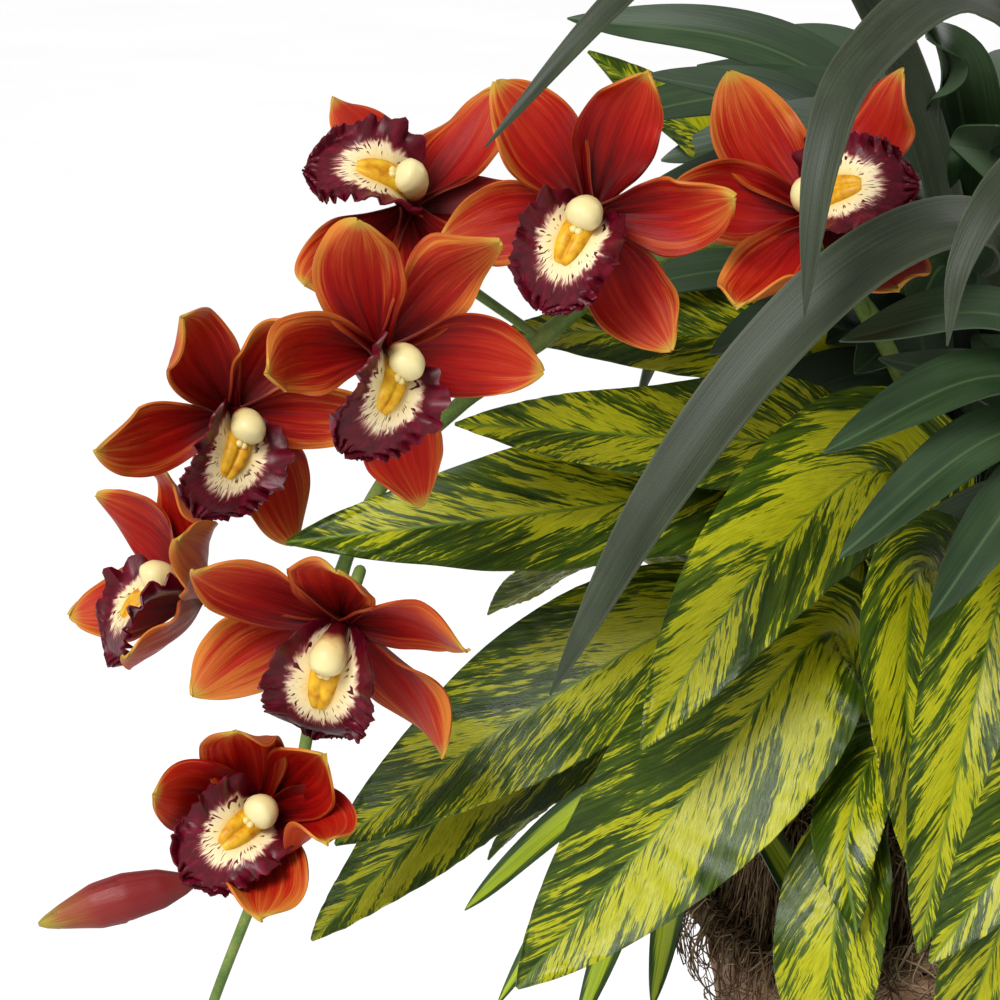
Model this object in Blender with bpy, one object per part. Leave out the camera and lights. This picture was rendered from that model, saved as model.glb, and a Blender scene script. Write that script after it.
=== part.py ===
"""Cymbidium orchid sprays, striped foliage and straps growing from moss in a round woven basket.

Metres, +Z up. The origin is the centre of the basket's underside, and the arrangement's front faces -Y.
Every piece of the plant is set out from the crown, the flat top of the moss, so it follows the basket's size.
"""

import math

import bmesh
import bpy
from mathutils import Matrix, Vector

GAP = 0.0003  # clearance between pieces that touch
SMOOTH_UNDER = math.radians(40)  # edges that turn less than this are shaded smooth

# ---- Basket ----
BASE_RADIUS = 0.086
BASE_THICKNESS = 0.007
FOOT_RADIUS = 0.080  # outside of the wall at its foot
RIM_RADIUS = 0.114  # outside of the wall at its top
RIM_HEIGHT = 0.138  # mean height of the wall's top edge
RIM_WAVE = 0.011  # how far that edge rises and dips about the mean
RIM_PEAKS = 4
WALL_THICKNESS = 0.005
STRIP_ROWS = 6  # rows of flat strips up the wall
STRIP_STEP = 0.0016  # how far the top of each row stands out over the foot of the next
ROUND_SEGMENTS = 36  # facets round the basket
BRAID_RADIUS = 0.0065
BRAID_SIDES = 7

# ---- Filling ----
FOAM_HEIGHT = 0.100  # top of the floral foam
FOAM_SEGMENTS = 24
MOSS_SHOULDER = 0.038  # moss above the mean rim height, where its side turns over
MOSS_RISE = 0.037  # moss above its shoulder, at the crown
MOSS_SEGMENTS = 32
MOSS_RINGS = (0.97, 0.86, 0.66, 0.36)  # shares of the moss radius

# ---- Leaves: width shares along a blade, root to tip ----
BROAD_OUTLINE = ((0.0, 0.09), (0.14, 0.11), (0.28, 0.62), (0.46, 1.0), (0.66, 0.93), (0.85, 0.55), (1.0, 0.0))
STRAP_OUTLINE = ((0.0, 0.40), (0.25, 0.80), (0.55, 1.0), (0.80, 0.85), (0.93, 0.48), (1.0, 0.0))
LANCE_OUTLINE = ((0.0, 0.35), (0.20, 0.62), (0.50, 1.0), (0.78, 0.75), (0.92, 0.38), (1.0, 0.0))
LEAF_STATIONS = 9
LEAF_THICKNESS = 0.0014
STRAP_THICKNESS = 0.0018
LEAF_TROUGH = 0.16  # how far a blade's edges stand up, as a share of its half width
CANE_RADIUS = 0.0030
CANE_SIDES = 6
CANE_LEAVES_FROM = 0.45  # a cane's leaves are spread over this share of it, from the top down
SHOOT_STATIONS = 7

# ---- Orchids ----
STEM_RADIUS = 0.0032
STEM_SIDES = 5
STEM_STATIONS = 21
PEDICEL_RADIUS = 0.0018
PEDICEL_STATIONS = 5
PEDICEL_GAP = 0.0008  # from a pedicel's slanting end to its flower
PEDICEL_BACK = 0.020  # how far behind its flower a pedicel straightens out
TEPAL_WIDTH = 0.50  # of the tepal's length
TEPAL_THICKNESS = 0.0014
TEPAL_TROUGH = 0.18
TEPAL_STATIONS = 5
TEPAL_OUTLINE = ((0.0, 0.16), (0.25, 0.58), (0.55, 1.0), (0.80, 0.88), (0.93, 0.52), (1.0, 0.0))
TEPAL_START = 0.0010  # a tepal starts this far off the centre, inside the hub
SEPAL_ANGLES = (90, 215, -35)  # round the flower's face, from its right
PETAL_ANGLES = (148, 32)
PETAL_FORWARD = 0.0026 * TEPAL_WIDTH  # the two petals stand this far in front of the three sepals
TEPAL_BOW = 0.10  # how far a tepal bows back from a straight line, of its length
HUB_RADIUS = 0.0045
HUB_SIDES = 6
HUB_BACK = 0.0035  # the hub's reach behind and in front of where the tepals meet
HUB_FRONT = 0.0040
LIP_LENGTH = 0.62  # of the tepal's length, along its curve
LIP_WIDTH = 0.44
LIP_THICKNESS = 0.0014
LIP_TROUGH = 0.55
LIP_OUTLINE = ((0.0, 0.30), (0.25, 0.85), (0.50, 1.0), (0.75, 0.95), (0.92, 0.6), (1.0, 0.0))
LIP_CURL = ((0.0, 0.0), (0.20, 0.0), (0.48, 0.10), (0.72, 0.42), (0.62, 0.75))  # shares ahead and down
LIP_LEAN = 0.3  # how far the lip's upper face leans forward
LIP_STATIONS = 7
COLUMN_LENGTH = 0.30  # of the tepal's length
COLUMN_RADIUS = 0.0030
COLUMN_ARCH = ((0.0, 0.0), (0.3, 0.0), (0.7, 0.20), (1.0, 0.20))  # ahead and up, of its length
COLUMN_SIDES = 6
COLUMN_STATIONS = 4
BUD_LENGTH = 0.058
BUD_RADIUS = 0.0092
BUD_OUTLINE = ((0.0, 0.30), (0.12, 0.62), (0.35, 1.0), (0.60, 0.92), (0.85, 0.50), (1.0, 0.12))
BUD_SIDES = 10
BUD_STATIONS = 8

CROWN_HEIGHT = RIM_HEIGHT + MOSS_SHOULDER + MOSS_RISE * math.sqrt(1 - MOSS_RINGS[-1] ** 2)
MOSS_RADIUS = RIM_RADIUS - WALL_THICKNESS / 2 - BRAID_RADIUS - GAP

# ---- Where things grow: each point is (x, y, height above the crown), and spreads with the basket's rim ----

SET_OUT_FOR = 0.114  # the rim radius at which x and y are as written
SPREAD = RIM_RADIUS / SET_OUT_FOR

# name, root (x, y) on the moss, points to the tip, width, the way the blade faces
STRIPED_LEAVES = (
    ("front_1", (-0.022, -0.050), ((-0.034, -0.060, 0.078), (-0.050, -0.078, 0.112), (-0.093, -0.118, 0.084),
                                   (-0.136, -0.148, 0.025)), 0.054, (-0.1, -1.0, 0.55)),
    ("front_2", (-0.048, -0.050), ((-0.058, -0.072, 0.040), (-0.074, -0.096, 0.052), (-0.120, -0.118, 0.000),
                                   (-0.179, -0.128, -0.066)), 0.064, (0.0, -1.0, 0.45)),
    ("front_3", (-0.004, -0.060), ((-0.018, -0.084, 0.060), (-0.038, -0.118, 0.082), (-0.044, -0.146, 0.040),
                                   (-0.036, -0.150, -0.032)), 0.036, (0.3, -1.0, 0.25)),
    ("front_4", (-0.030, -0.082), ((-0.040, -0.092, 0.008), (-0.053, -0.103, 0.012), (-0.063, -0.124, -0.014),
                                   (-0.060, -0.136, -0.044)), 0.026, (-0.2, -1.0, 0.6)),
    ("front_5", (-0.046, -0.082), ((-0.052, -0.094, 0.000), (-0.060, -0.108, -0.012),
                                   (-0.068, -0.124, -0.055), (-0.070, -0.126, -0.112)),
     0.038, (-0.4, -1.0, 0.3)),
    ("front_6", (0.008, -0.074), ((0.002, -0.100, 0.062), (-0.008, -0.128, 0.082), (-0.026, -0.158, 0.024),
                                  (-0.040, -0.160, -0.045)), 0.040, (0.0, -1.0, 0.3)),
    ("front_7", (0.030, -0.076), ((0.032, -0.112, 0.024), (0.020, -0.150, 0.034), (-0.010, -0.190, 0.000),
                                  (-0.039, -0.200, -0.038)), 0.044, (0.1, -1.0, 0.4)),
    ("front_8", (0.014, -0.094), ((0.010, -0.108, 0.000), (0.004, -0.123, -0.008), (-0.012, -0.136, -0.050),
                                  (-0.030, -0.140, -0.100)), 0.036, (0.0, -1.0, 0.3)),
    ("left_1", (-0.046, -0.012), ((-0.060, -0.022, 0.070), (-0.095, -0.040, 0.098), (-0.164, -0.060, 0.093),
                                  (-0.262, -0.062, 0.082)), 0.054, (0.1, -1.0, 0.9)),
    ("left_2", (-0.062, -0.012), ((-0.078, -0.018, 0.036), (-0.115, -0.030, 0.046), (-0.181, -0.038, 0.010),
                                  (-0.246, -0.036, -0.036)), 0.056, (-0.1, -1.0, 0.7)),
    ("left_3", (-0.070, 0.010), ((-0.088, 0.010, 0.012), (-0.120, 0.006, 0.018), (-0.196, -0.006, -0.024),
                                 (-0.256, -0.006, -0.080)), 0.046, (-0.2, -1.0, 0.8)),
    ("left_4", (-0.030, 0.010), ((-0.042, 0.006, 0.090), (-0.068, -0.002, 0.139), (-0.118, -0.008, 0.150),
                                 (-0.185, -0.004, 0.150)), 0.046, (0.0, -1.0, 0.7)),
    ("left_5", (-0.034, -0.016), ((-0.044, -0.026, 0.090), (-0.075, -0.046, 0.114), (-0.131, -0.070, 0.122),
                                  (-0.201, -0.078, 0.128)), 0.044, (0.1, -1.0, 0.7)),
    ("left_6", (-0.022, 0.030), ((-0.033, 0.032, 0.110), (-0.051, 0.033, 0.160), (-0.092, 0.034, 0.205),
                                 (-0.152, 0.036, 0.250)), 0.040, (0.3, -1.0, 0.6)),
)

STRAP_LEAVES = (
    ("1", (0.016, -0.034), ((0.014, -0.048, 0.080), (0.004, -0.082, 0.162), (-0.018, -0.125, 0.203),
                            (-0.055, -0.158, 0.200), (-0.094, -0.174, 0.168), (-0.134, -0.180, 0.114),
                            (-0.168, -0.176, 0.050)), 0.024, (-0.4, -1.0, 0.6)),
    ("2", (0.034, -0.020), ((0.030, -0.032, 0.120), (0.010, -0.064, 0.246), (-0.028, -0.120, 0.283),
                            (-0.064, -0.168, 0.264), (-0.078, -0.192, 0.234), (-0.084, -0.202, 0.184)),
     0.022, (-0.3, -1.0, 0.5)),
    ("3", (-0.010, -0.004), ((-0.018, -0.010, 0.180), (-0.060, -0.052, 0.290), (-0.104, -0.096, 0.315),
                             (-0.146, -0.132, 0.282), (-0.190, -0.152, 0.235)), 0.015, (-0.3, -1.0, 0.8)),
    ("4", (0.052, -0.040), ((0.050, -0.070, 0.130), (0.020, -0.136, 0.236), (-0.014, -0.186, 0.228),
                            (-0.032, -0.204, 0.203), (-0.037, -0.208, 0.175)), 0.020, (-0.3, -1.0, 0.5)),
    ("5", (0.060, 0.010), ((0.072, 0.010, 0.120), (0.120, -0.020, 0.190), (0.190, -0.070, 0.170),
                           (0.240, -0.110, 0.060)), 0.023, (0.5, -0.6, 1.0)),
    ("6", (0.010, 0.060), ((0.006, 0.080, 0.120), (-0.030, 0.130, 0.220), (-0.090, 0.180, 0.190),
                           (-0.130, 0.200, 0.090)), 0.023, (-0.4, 0.8, 1.0)),
)

# name, root, top of the cane, leaf width, how far each leaf's middle stands above a straight line, the way
# the leaves face, leaf tips
LANCE_SHOOTS = (
    ("front", (0.044, -0.066), (0.036, -0.118, 0.150), 0.020, 0.016, (0.0, -1.0, 1.2),
     ((-0.069, -0.150, 0.168), (-0.075, -0.166, 0.132), (-0.070, -0.178, 0.098), (-0.040, -0.186, 0.078),
      (0.010, -0.208, 0.070), (0.110, -0.170, 0.110), (0.130, -0.130, 0.160), (-0.06, -0.07, 0.06),
      (-0.05, -0.07, 0.15), (0.11, -0.03, 0.08), (0.13, -0.12, 0.03))),
    ("top", (-0.002, 0.016), (-0.004, 0.016, 0.205), 0.022, 0.020, (0.0, -1.0, 1.2),
     ((-0.157, -0.020, 0.228), (-0.160, 0.036, 0.262), (-0.090, 0.120, 0.250), (0.020, 0.150, 0.240),
      (0.130, 0.080, 0.260), (0.160, -0.035, 0.215), (0.060, -0.040, 0.315), (-0.040, -0.050, 0.285),
      (-0.06, 0.12, 0.13), (-0.09, -0.04, 0.17), (0.00, -0.08, 0.20), (-0.12, -0.05, 0.10),
      (0.09, 0.00, 0.18))),
    ("core", (-0.020, 0.020), (-0.035, 0.020, 0.170), 0.020, 0.014, (0.0, -1.0, 1.2),
     ((-0.07, -0.07, 0.21), (-0.07, 0.09, 0.23), (-0.16, -0.01, 0.16), (-0.03, -0.05, 0.13),
      (-0.11, -0.06, 0.15), (0.07, 0.07, 0.06), (-0.15, -0.03, 0.06), (0.06, 0.05, 0.15),
      (0.08, 0.07, 0.04), (0.07, -0.060, 0.170))),
    ("back", (0.020, 0.078), (0.030, 0.110, 0.090), 0.021, 0.018, (0.2, 1.0, 1.2),
     ((-0.060, 0.190, 0.110), (-0.010, 0.220, 0.030), (0.060, 0.215, 0.100), (0.110, 0.190, 0.030),
      (0.140, 0.130, 0.120), (0.15, 0.11, 0.02), (-0.09, 0.12, 0.02), (-0.06, 0.03, 0.00),
      (-0.06, 0.04, 0.11), (0.12, 0.04, 0.10))),
    ("low", (-0.086, -0.030), (-0.116, -0.052, 0.006), 0.018, 0.006, (-0.3, -1.0, 0.9),
     ((-0.198, -0.040, -0.060), (-0.186, -0.062, -0.090), (-0.158, -0.070, -0.100),
      (-0.130, -0.084, -0.085), (-0.10, 0.04, -0.03), (-0.05, -0.13, -0.09), (-0.15, 0.05, -0.09))),
)

STRIPED_SHOOTS = (
    ("right", (0.060, -0.020), (0.084, -0.026, 0.060), 0.048, 0.022, (0.5, -0.6, 1.2),
     ((0.232, -0.050, -0.010), (0.205, 0.050, 0.050), (0.180, -0.130, -0.040), (0.160, -0.160, 0.040),
      (0.200, -0.020, 0.110), (0.140, 0.110, -0.030), (0.05, -0.18, 0.03), (0.05, -0.15, -0.06),
      (0.12, 0.08, 0.08), (0.19, -0.01, -0.08))),
    ("back", (-0.050, 0.060), (-0.070, 0.084, 0.050), 0.046, 0.020, (-0.4, 0.8, 1.2),
     ((-0.190, 0.120, 0.020), (-0.150, 0.190, -0.040), (-0.040, 0.210, -0.050), (-0.100, 0.190, 0.080),
      (-0.200, 0.070, -0.050), (-0.10, 0.01, 0.06), (0.05, 0.18, 0.01), (-0.21, 0.04, 0.06),
      (-0.19, 0.04, -0.06))),
)

SPRAY_LEFT = ((-0.014, -0.020), (
    (-0.018, -0.024, 0.070), (-0.036, -0.034, 0.130), (-0.063, -0.045, 0.176), (-0.100, -0.048, 0.190),
    (-0.135, -0.042, 0.180), (-0.169, -0.036, 0.153), (-0.200, -0.026, 0.126), (-0.226, -0.012, 0.098),
    (-0.243, -0.002, 0.062), (-0.254, -0.002, 0.013), (-0.262, -0.008, -0.025), (-0.275, -0.014, -0.057),
    (-0.288, -0.016, -0.090), (-0.296, -0.016, -0.112)))
SPRAY_RIGHT = ((0.026, 0.014), (
    (0.034, 0.020, 0.080), (0.054, 0.030, 0.160), (0.090, 0.036, 0.215), (0.135, 0.036, 0.225),
    (0.180, 0.030, 0.195), (0.220, 0.022, 0.145), (0.250, 0.014, 0.085), (0.268, 0.010, 0.025)))

# centre, then facing: turned left, tipped up, rolled; degrees; tepal length, opening from the facing line,
# and how far along the spray its pedicel leaves
FLOWERS_LEFT = (
    ((-0.217, -0.070, 0.203), 10, 45, -88, 0.056, 77, 0.50),
    ((-0.153, -0.118, 0.208), 13, -1, -23, 0.055, 84, 0.42),
    ((-0.073, -0.104, 0.205), 9, 30, 94, 0.058, 65, 0.27),
    ((-0.227, -0.140, 0.163), -26, -11, -38, 0.057, 75, 0.55),
    ((-0.283, -0.028, 0.124), -17, -16, -29, 0.056, 70, 0.61),
    ((-0.295, -0.016, 0.052), 66, 21, -5, 0.055, 50, 0.72),
    ((-0.241, -0.088, 0.059), 19, -39, -18, 0.062, 69, 0.77),
    ((-0.272, -0.064, -0.018), 2, 11, -48, 0.056, 34, 0.86),
)
FLOWERS_RIGHT = (
    ((0.086, -0.040, 0.252), -20, 15, 10, 0.056, 76, 0.46),
    ((0.176, -0.034, 0.238), -35, 5, 20, 0.057, 72, 0.64),
    ((0.246, 0.080, 0.150), -130, 5, -12, 0.056, 70, 0.80),
    ((0.262, -0.046, 0.088), -50, -10, 25, 0.055, 64, 0.88),
)
BUD_LEFT = ((-0.300, -0.026, -0.053), (-1.0, -0.10, -0.26), 0.90)
BUD_RIGHT = ((0.286, -0.006, -0.006), (0.55, -0.3, -0.8), 0.97)

MATERIALS = {
    "striped_leaf": ((0.13, 0.22, 0.03), 0.38),
    "strap_leaf": ((0.10, 0.14, 0.10), 0.60),
    "lance_leaf": ((0.045, 0.10, 0.035), 0.42),
    "stem": ((0.16, 0.25, 0.05), 0.50),
    "petal": ((0.62, 0.12, 0.05), 0.48),
    "lip": ((0.35, 0.03, 0.08), 0.48),
    "bud": ((0.42, 0.10, 0.08), 0.48),
    "moss": ((0.13, 0.09, 0.045), 0.95),
    "foam": ((0.10, 0.16, 0.08), 0.95),
    "strip": ((0.45, 0.26, 0.16), 0.75),
    "braid": ((0.36, 0.26, 0.17), 0.85),
    "board": ((0.30, 0.19, 0.11), 0.80),
}


def clear_scene():
    for item in list(bpy.data.objects):
        bpy.data.objects.remove(item, do_unlink=True)


def material(slot):
    """The slot's own Principled material, made once."""
    made = bpy.data.materials.get(slot)
    if made:
        return made
    colour, roughness = MATERIALS[slot]
    made = bpy.data.materials.new(slot)
    made.use_nodes = True
    shader = made.node_tree.nodes["Principled BSDF"]
    shader.inputs["Base Color"].default_value = (*colour, 1.0)
    shader.inputs["Roughness"].default_value = roughness
    shader.inputs["Metallic"].default_value = 0.0
    return made


def mesh_object(name, points, faces):
    mesh = bpy.data.meshes.new(name)
    mesh.from_pydata([tuple(p) for p in points], [], faces)
    solid = bmesh.new()
    solid.from_mesh(mesh)
    bmesh.ops.recalc_face_normals(solid, faces=solid.faces)
    bmesh.ops.triangulate(solid, faces=solid.faces)
    solid.to_mesh(mesh)
    solid.free()
    made = bpy.data.objects.new(name, mesh)
    bpy.context.scene.collection.objects.link(made)
    return made


def finish(piece, name, slot):
    piece.name = name
    piece.data.name = name
    piece.data.materials.clear()
    piece.data.materials.append(material(slot))
    piece.data.shade_smooth()
    piece.data.set_sharp_from_angle(angle=SMOOTH_UNDER)
    return piece


def united(pieces):
    """One closed body from overlapping closed pieces."""
    first, others = pieces[0], pieces[1:]
    group = bpy.data.collections.new("union")
    for other in others:
        group.objects.link(other)
    union = first.modifiers.new("union", "BOOLEAN")
    union.operation = "UNION"
    union.solver = "EXACT"
    union.operand_type = "COLLECTION"
    union.collection = group
    graph = bpy.context.evaluated_depsgraph_get()
    mesh = bpy.data.meshes.new_from_object(first.evaluated_get(graph))
    first.modifiers.clear()
    first.data = mesh
    bpy.data.collections.remove(group)
    for other in others:
        bpy.data.objects.remove(other, do_unlink=True)
    return first


# ---- Curves and sweeps ----

def share_at(outline, t):
    """The outline's value at t, straight between its knots."""
    for (t0, a), (t1, b) in zip(outline, outline[1:]):
        if t <= t1:
            return a + (b - a) * (t - t0) / (t1 - t0)
    return outline[-1][1]


def smooth_path(knots, count):
    """`count` points spaced along a smooth curve through the knots, with its direction at each."""
    ends = [knots[0] * 2 - knots[1], *knots, knots[-1] * 2 - knots[-2]]
    fine = []
    steps = 12
    for i in range(1, len(ends) - 2):
        a, b, c, d = ends[i - 1], ends[i], ends[i + 1], ends[i + 2]
        for k in range(steps):
            t = k / steps
            fine.append(0.5 * (2 * b + (c - a) * t + (2 * a - 5 * b + 4 * c - d) * t**2
                               + (3 * b - a - 3 * c + d) * t**3))
    fine.append(knots[-1].copy())
    run = [0.0]
    for p, q in zip(fine, fine[1:]):
        run.append(run[-1] + (q - p).length)
    points = []
    for k in range(count):
        wanted = run[-1] * k / (count - 1)
        i = max(j for j in range(len(run) - 1) if run[j] <= wanted + 1e-12)
        share = (wanted - run[i]) / (run[i + 1] - run[i])
        points.append(fine[i].lerp(fine[i + 1], min(share, 1.0)))
    ways = [(points[min(k + 1, count - 1)] - points[max(k - 1, 0)]).normalized() for k in range(count)]
    return points, ways


def skin(rings, tip):
    """Faces over equal rings, a cap over the first, and a fan to the tip or a cap over the last."""
    sides = len(rings[0])
    points = [p for ring in rings for p in ring]
    faces = [tuple(reversed(range(sides)))]
    for r in range(len(rings) - 1):
        for k in range(sides):
            n = (k + 1) % sides
            faces.append((r * sides + k, r * sides + n, (r + 1) * sides + n, (r + 1) * sides + k))
    last = (len(rings) - 1) * sides
    if tip is None:
        faces.append(tuple(range(last, last + sides)))
    else:
        points.append(tip)
        faces += [(last + k, last + (k + 1) % sides, len(points) - 1) for k in range(sides)]
    return points, faces


def blade(knots, width, thickness, outline, trough, facing, stations, root_on_moss=False):
    """A leaf-like solid: a shallow V in section, swept along the knots to a pointed tip."""
    points, ways = smooth_path(knots, stations)
    rings = []
    for k in range(stations - 1):
        way = ways[k]
        up = (facing - way * facing.dot(way)).normalized()
        side = way.cross(up)
        half = width * share_at(outline, k / (stations - 1)) / 2
        lift = up * (half * trough)
        rings.append([points[k] + side * half + lift, points[k] + up * (thickness / 2),
                      points[k] - side * half + lift, points[k] - up * (thickness / 2)])
    if root_on_moss:
        rings[0] = [on_moss(p.x, p.y) for p in rings[0]]
    return mesh_object("blade", *skin(rings, points[-1]))


def tube(knots, radii, sides, stations, root_on_moss=False):
    """A round rod along the knots; radii is an outline of shares times metres, root to tip."""
    points, ways = smooth_path(knots, stations)
    rings = []
    side = ways[0].orthogonal().normalized()
    for k in range(stations):
        side = (side - ways[k] * side.dot(ways[k])).normalized()
        other = ways[k].cross(side)
        radius = share_at(radii, k / (stations - 1))
        rings.append([points[k] + (side * math.cos(a) + other * math.sin(a)) * radius
                      for a in (math.tau * s / sides for s in range(sides))])
    if root_on_moss:
        rings[0] = [on_moss(p.x, p.y) for p in rings[0]]
    return mesh_object("tube", *skin(rings, None))


# ---- Basket and filling ----

def ring_angles(count):
    return [math.tau * k / count for k in range(count)]


def wall_top(angle):
    return RIM_HEIGHT + RIM_WAVE * math.cos(RIM_PEAKS * angle)


def wall_radius(share):
    """Outside of the wall at this share of its height."""
    return FOOT_RADIUS + (RIM_RADIUS - FOOT_RADIUS) * share


def lathe(profile_at, count, closed):
    """Faces round the axis: profile_at(angle) lists (radius, height) from axis to axis, or a closed loop."""
    points, faces = [], []
    angles = ring_angles(count)
    size = len(profile_at(0.0))
    for angle in angles:
        points += [Vector((r * math.cos(angle), r * math.sin(angle), z)) for r, z in profile_at(angle)]
    loop = size if closed else size - 1
    for k in range(count):
        a, b = k * size, ((k + 1) % count) * size
        faces += [(a + i, a + (i + 1) % size, b + (i + 1) % size, b + i) for i in range(loop)]
    if not closed:
        faces.append(tuple(k * size for k in reversed(range(count))))
        faces.append(tuple(k * size + size - 1 for k in range(count)))
    return points, faces


def basket_base():
    edge = BASE_THICKNESS / 4
    profile = [(BASE_RADIUS - edge, 0.0), (BASE_RADIUS, edge), (BASE_RADIUS, BASE_THICKNESS - edge),
               (BASE_RADIUS - edge, BASE_THICKNESS)]
    points, faces = lathe(lambda angle: profile, ROUND_SEGMENTS, False)
    return finish(mesh_object("base", points, faces), "basket_base", "board")


def wall_profile(angle):
    """The wall's section: rows of strips outside, each standing out at its top, and a plain inside."""
    foot = BASE_THICKNESS + GAP
    height = wall_top(angle) - foot
    profile = []
    for row in range(STRIP_ROWS):
        low, high = row / STRIP_ROWS, (row + 1) / STRIP_ROWS
        profile.append((wall_radius(low) - STRIP_STEP, foot + height * low))
        profile.append((wall_radius(high), foot + height * high))
    profile.append((RIM_RADIUS - WALL_THICKNESS, foot + height))
    profile.append((FOOT_RADIUS - WALL_THICKNESS, foot))
    return profile


def basket_wall():
    points, faces = lathe(wall_profile, ROUND_SEGMENTS, True)
    return finish(mesh_object("wall", points, faces), "basket_wall", "strip")


def basket_rim():
    centre = RIM_RADIUS - WALL_THICKNESS / 2

    def section(angle):
        middle = wall_top(angle) + GAP + BRAID_RADIUS
        return [(centre + BRAID_RADIUS * math.cos(a), middle + BRAID_RADIUS * math.sin(a))
                for a in ring_angles(BRAID_SIDES)]

    points, faces = lathe(section, ROUND_SEGMENTS, True)
    return finish(mesh_object("rim", points, faces), "basket_rim", "braid")


def inside_radius(height):
    """Inside of the wall at this height, where the wall is at its highest, so the narrowest."""
    foot = BASE_THICKNESS + GAP
    share = (height - foot) / (RIM_HEIGHT + RIM_WAVE - foot)
    return (wall_radius(share) - WALL_THICKNESS) * math.cos(math.pi / ROUND_SEGMENTS)


def foam():
    foot = BASE_THICKNESS + GAP
    profile = [(inside_radius(foot) - 2 * GAP, foot), (inside_radius(FOAM_HEIGHT) - 2 * GAP, FOAM_HEIGHT)]
    points, faces = lathe(lambda angle: profile, FOAM_SEGMENTS, False)
    return finish(mesh_object("foam", points, faces), "floral_foam", "foam")


def moss_height(radius):
    share = min(radius / MOSS_RADIUS, 1.0)
    return RIM_HEIGHT + MOSS_SHOULDER + MOSS_RISE * math.sqrt(1 - share * share)


def on_moss(x, y):
    return Vector((x, y, moss_height(math.hypot(x, y)) + GAP))


def moss():
    low = FOAM_HEIGHT + GAP
    neck = min(inside_radius(low) - 2 * GAP, MOSS_RADIUS)
    waist = min(inside_radius(RIM_HEIGHT - RIM_WAVE) - 2 * GAP, MOSS_RADIUS)
    profile = [(neck, low), (waist, RIM_HEIGHT - RIM_WAVE), (MOSS_RADIUS, RIM_HEIGHT + MOSS_SHOULDER)]
    profile += [(MOSS_RADIUS * share, moss_height(MOSS_RADIUS * share)) for share in MOSS_RINGS]
    points, faces = lathe(lambda angle: profile, MOSS_SEGMENTS, False)
    return finish(mesh_object("moss", points, faces), "moss_mound", "moss")


# ---- Foliage ----

def above_crown(place):
    x, y, height = place
    return Vector((x * SPREAD, y * SPREAD, CROWN_HEIGHT + height))


def rooted(root):
    x, y = root
    return on_moss(x * SPREAD, y * SPREAD)


def grown(root, places):
    """Knots of a piece that leaves the moss at root."""
    return [rooted(root), *(above_crown(place) for place in places)]


def leaf(name, slot, root, places, width, facing, thickness, outline, stations):
    made = blade(grown(root, places), width, thickness, outline, LEAF_TROUGH, Vector(facing), stations, True)
    return finish(made, name, slot)


def striped_leaves():
    for name, root, places, width, facing in STRIPED_LEAVES:
        leaf(f"striped_leaf_{name}", "striped_leaf", root, places, width, facing, LEAF_THICKNESS,
             BROAD_OUTLINE, LEAF_STATIONS)


def strap_leaves():
    for name, root, places, width, facing in STRAP_LEAVES:
        leaf(f"strap_leaf_{name}", "strap_leaf", root, places, width, facing, STRAP_THICKNESS,
             STRAP_OUTLINE, LEAF_STATIONS + 2)


def shoot(name, slot, outline, root, top, width, arch, facing, tips):
    """A cane from the moss with leaves that leave its top and arch over to their tips."""
    head = above_crown(top)
    foot = rooted(root)
    pieces = [tube([foot, head], ((0.0, CANE_RADIUS), (1.0, CANE_RADIUS)), CANE_SIDES, 2, True)]
    for number, place in enumerate(tips):
        node = head.lerp(foot, CANE_LEAVES_FROM * number / len(tips))
        tip = above_crown(place)
        middle = node.lerp(tip, 0.5) + Vector((0, 0, arch))
        pieces.append(blade([node, middle, tip], width, LEAF_THICKNESS, outline, LEAF_TROUGH, Vector(facing),
                            SHOOT_STATIONS))
    return finish(united(pieces), name, slot)


def shoots():
    for name, *rest in LANCE_SHOOTS:
        shoot(f"lance_shoot_{name}", "lance_leaf", LANCE_OUTLINE, *rest)
    for name, *rest in STRIPED_SHOOTS:
        shoot(f"striped_shoot_{name}", "striped_leaf", BROAD_OUTLINE, *rest)


# ---- Orchids ----

def flower_axes(turn, tip, roll):
    """The flower's right, top and facing directions."""
    turn, tip, roll = (math.radians(a) for a in (turn, tip, roll))
    facing = Vector((-math.sin(turn) * math.cos(tip), -math.cos(turn) * math.cos(tip), math.sin(tip)))
    top = (Vector((0, 0, 1)) - facing * facing.z).normalized()
    right = top.cross(facing)
    spin = Matrix.Rotation(roll, 3, facing)
    return spin @ right, spin @ top, facing


def tepal(centre, axes, angle, opening, length):
    right, top, facing = axes
    outward = right * math.cos(math.radians(angle)) + top * math.sin(math.radians(angle))
    way = outward * math.sin(math.radians(opening)) + facing * math.cos(math.radians(opening))
    back = (outward * way.dot(facing) - facing * way.dot(outward))
    knots = [centre + way * TEPAL_START,
             centre + way * (length / 2) + back * (length * TEPAL_BOW),
             centre + way * length]
    return blade(knots, length * TEPAL_WIDTH, TEPAL_THICKNESS, TEPAL_OUTLINE, TEPAL_TROUGH, facing,
                 TEPAL_STATIONS)


def hub_front(opening):
    """A cupped flower's tepals come further forward round the column, so its hub does too."""
    return HUB_FRONT + COLUMN_RADIUS / math.tan(math.radians(opening))


def petals(name, centre, axes, opening, length):
    """The five tepals joined by a small hub."""
    facing = axes[2]
    hub = tube([centre - facing * HUB_BACK, centre + facing * hub_front(opening)],
               ((0.0, HUB_RADIUS), (1.0, HUB_RADIUS)), HUB_SIDES, 2)
    front = centre + facing * PETAL_FORWARD
    pieces = [hub] + [tepal(centre, axes, angle, opening, length) for angle in SEPAL_ANGLES]
    pieces += [tepal(front, axes, angle, opening, length) for angle in PETAL_ANGLES]
    return finish(united(pieces), name, "petal")


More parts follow.
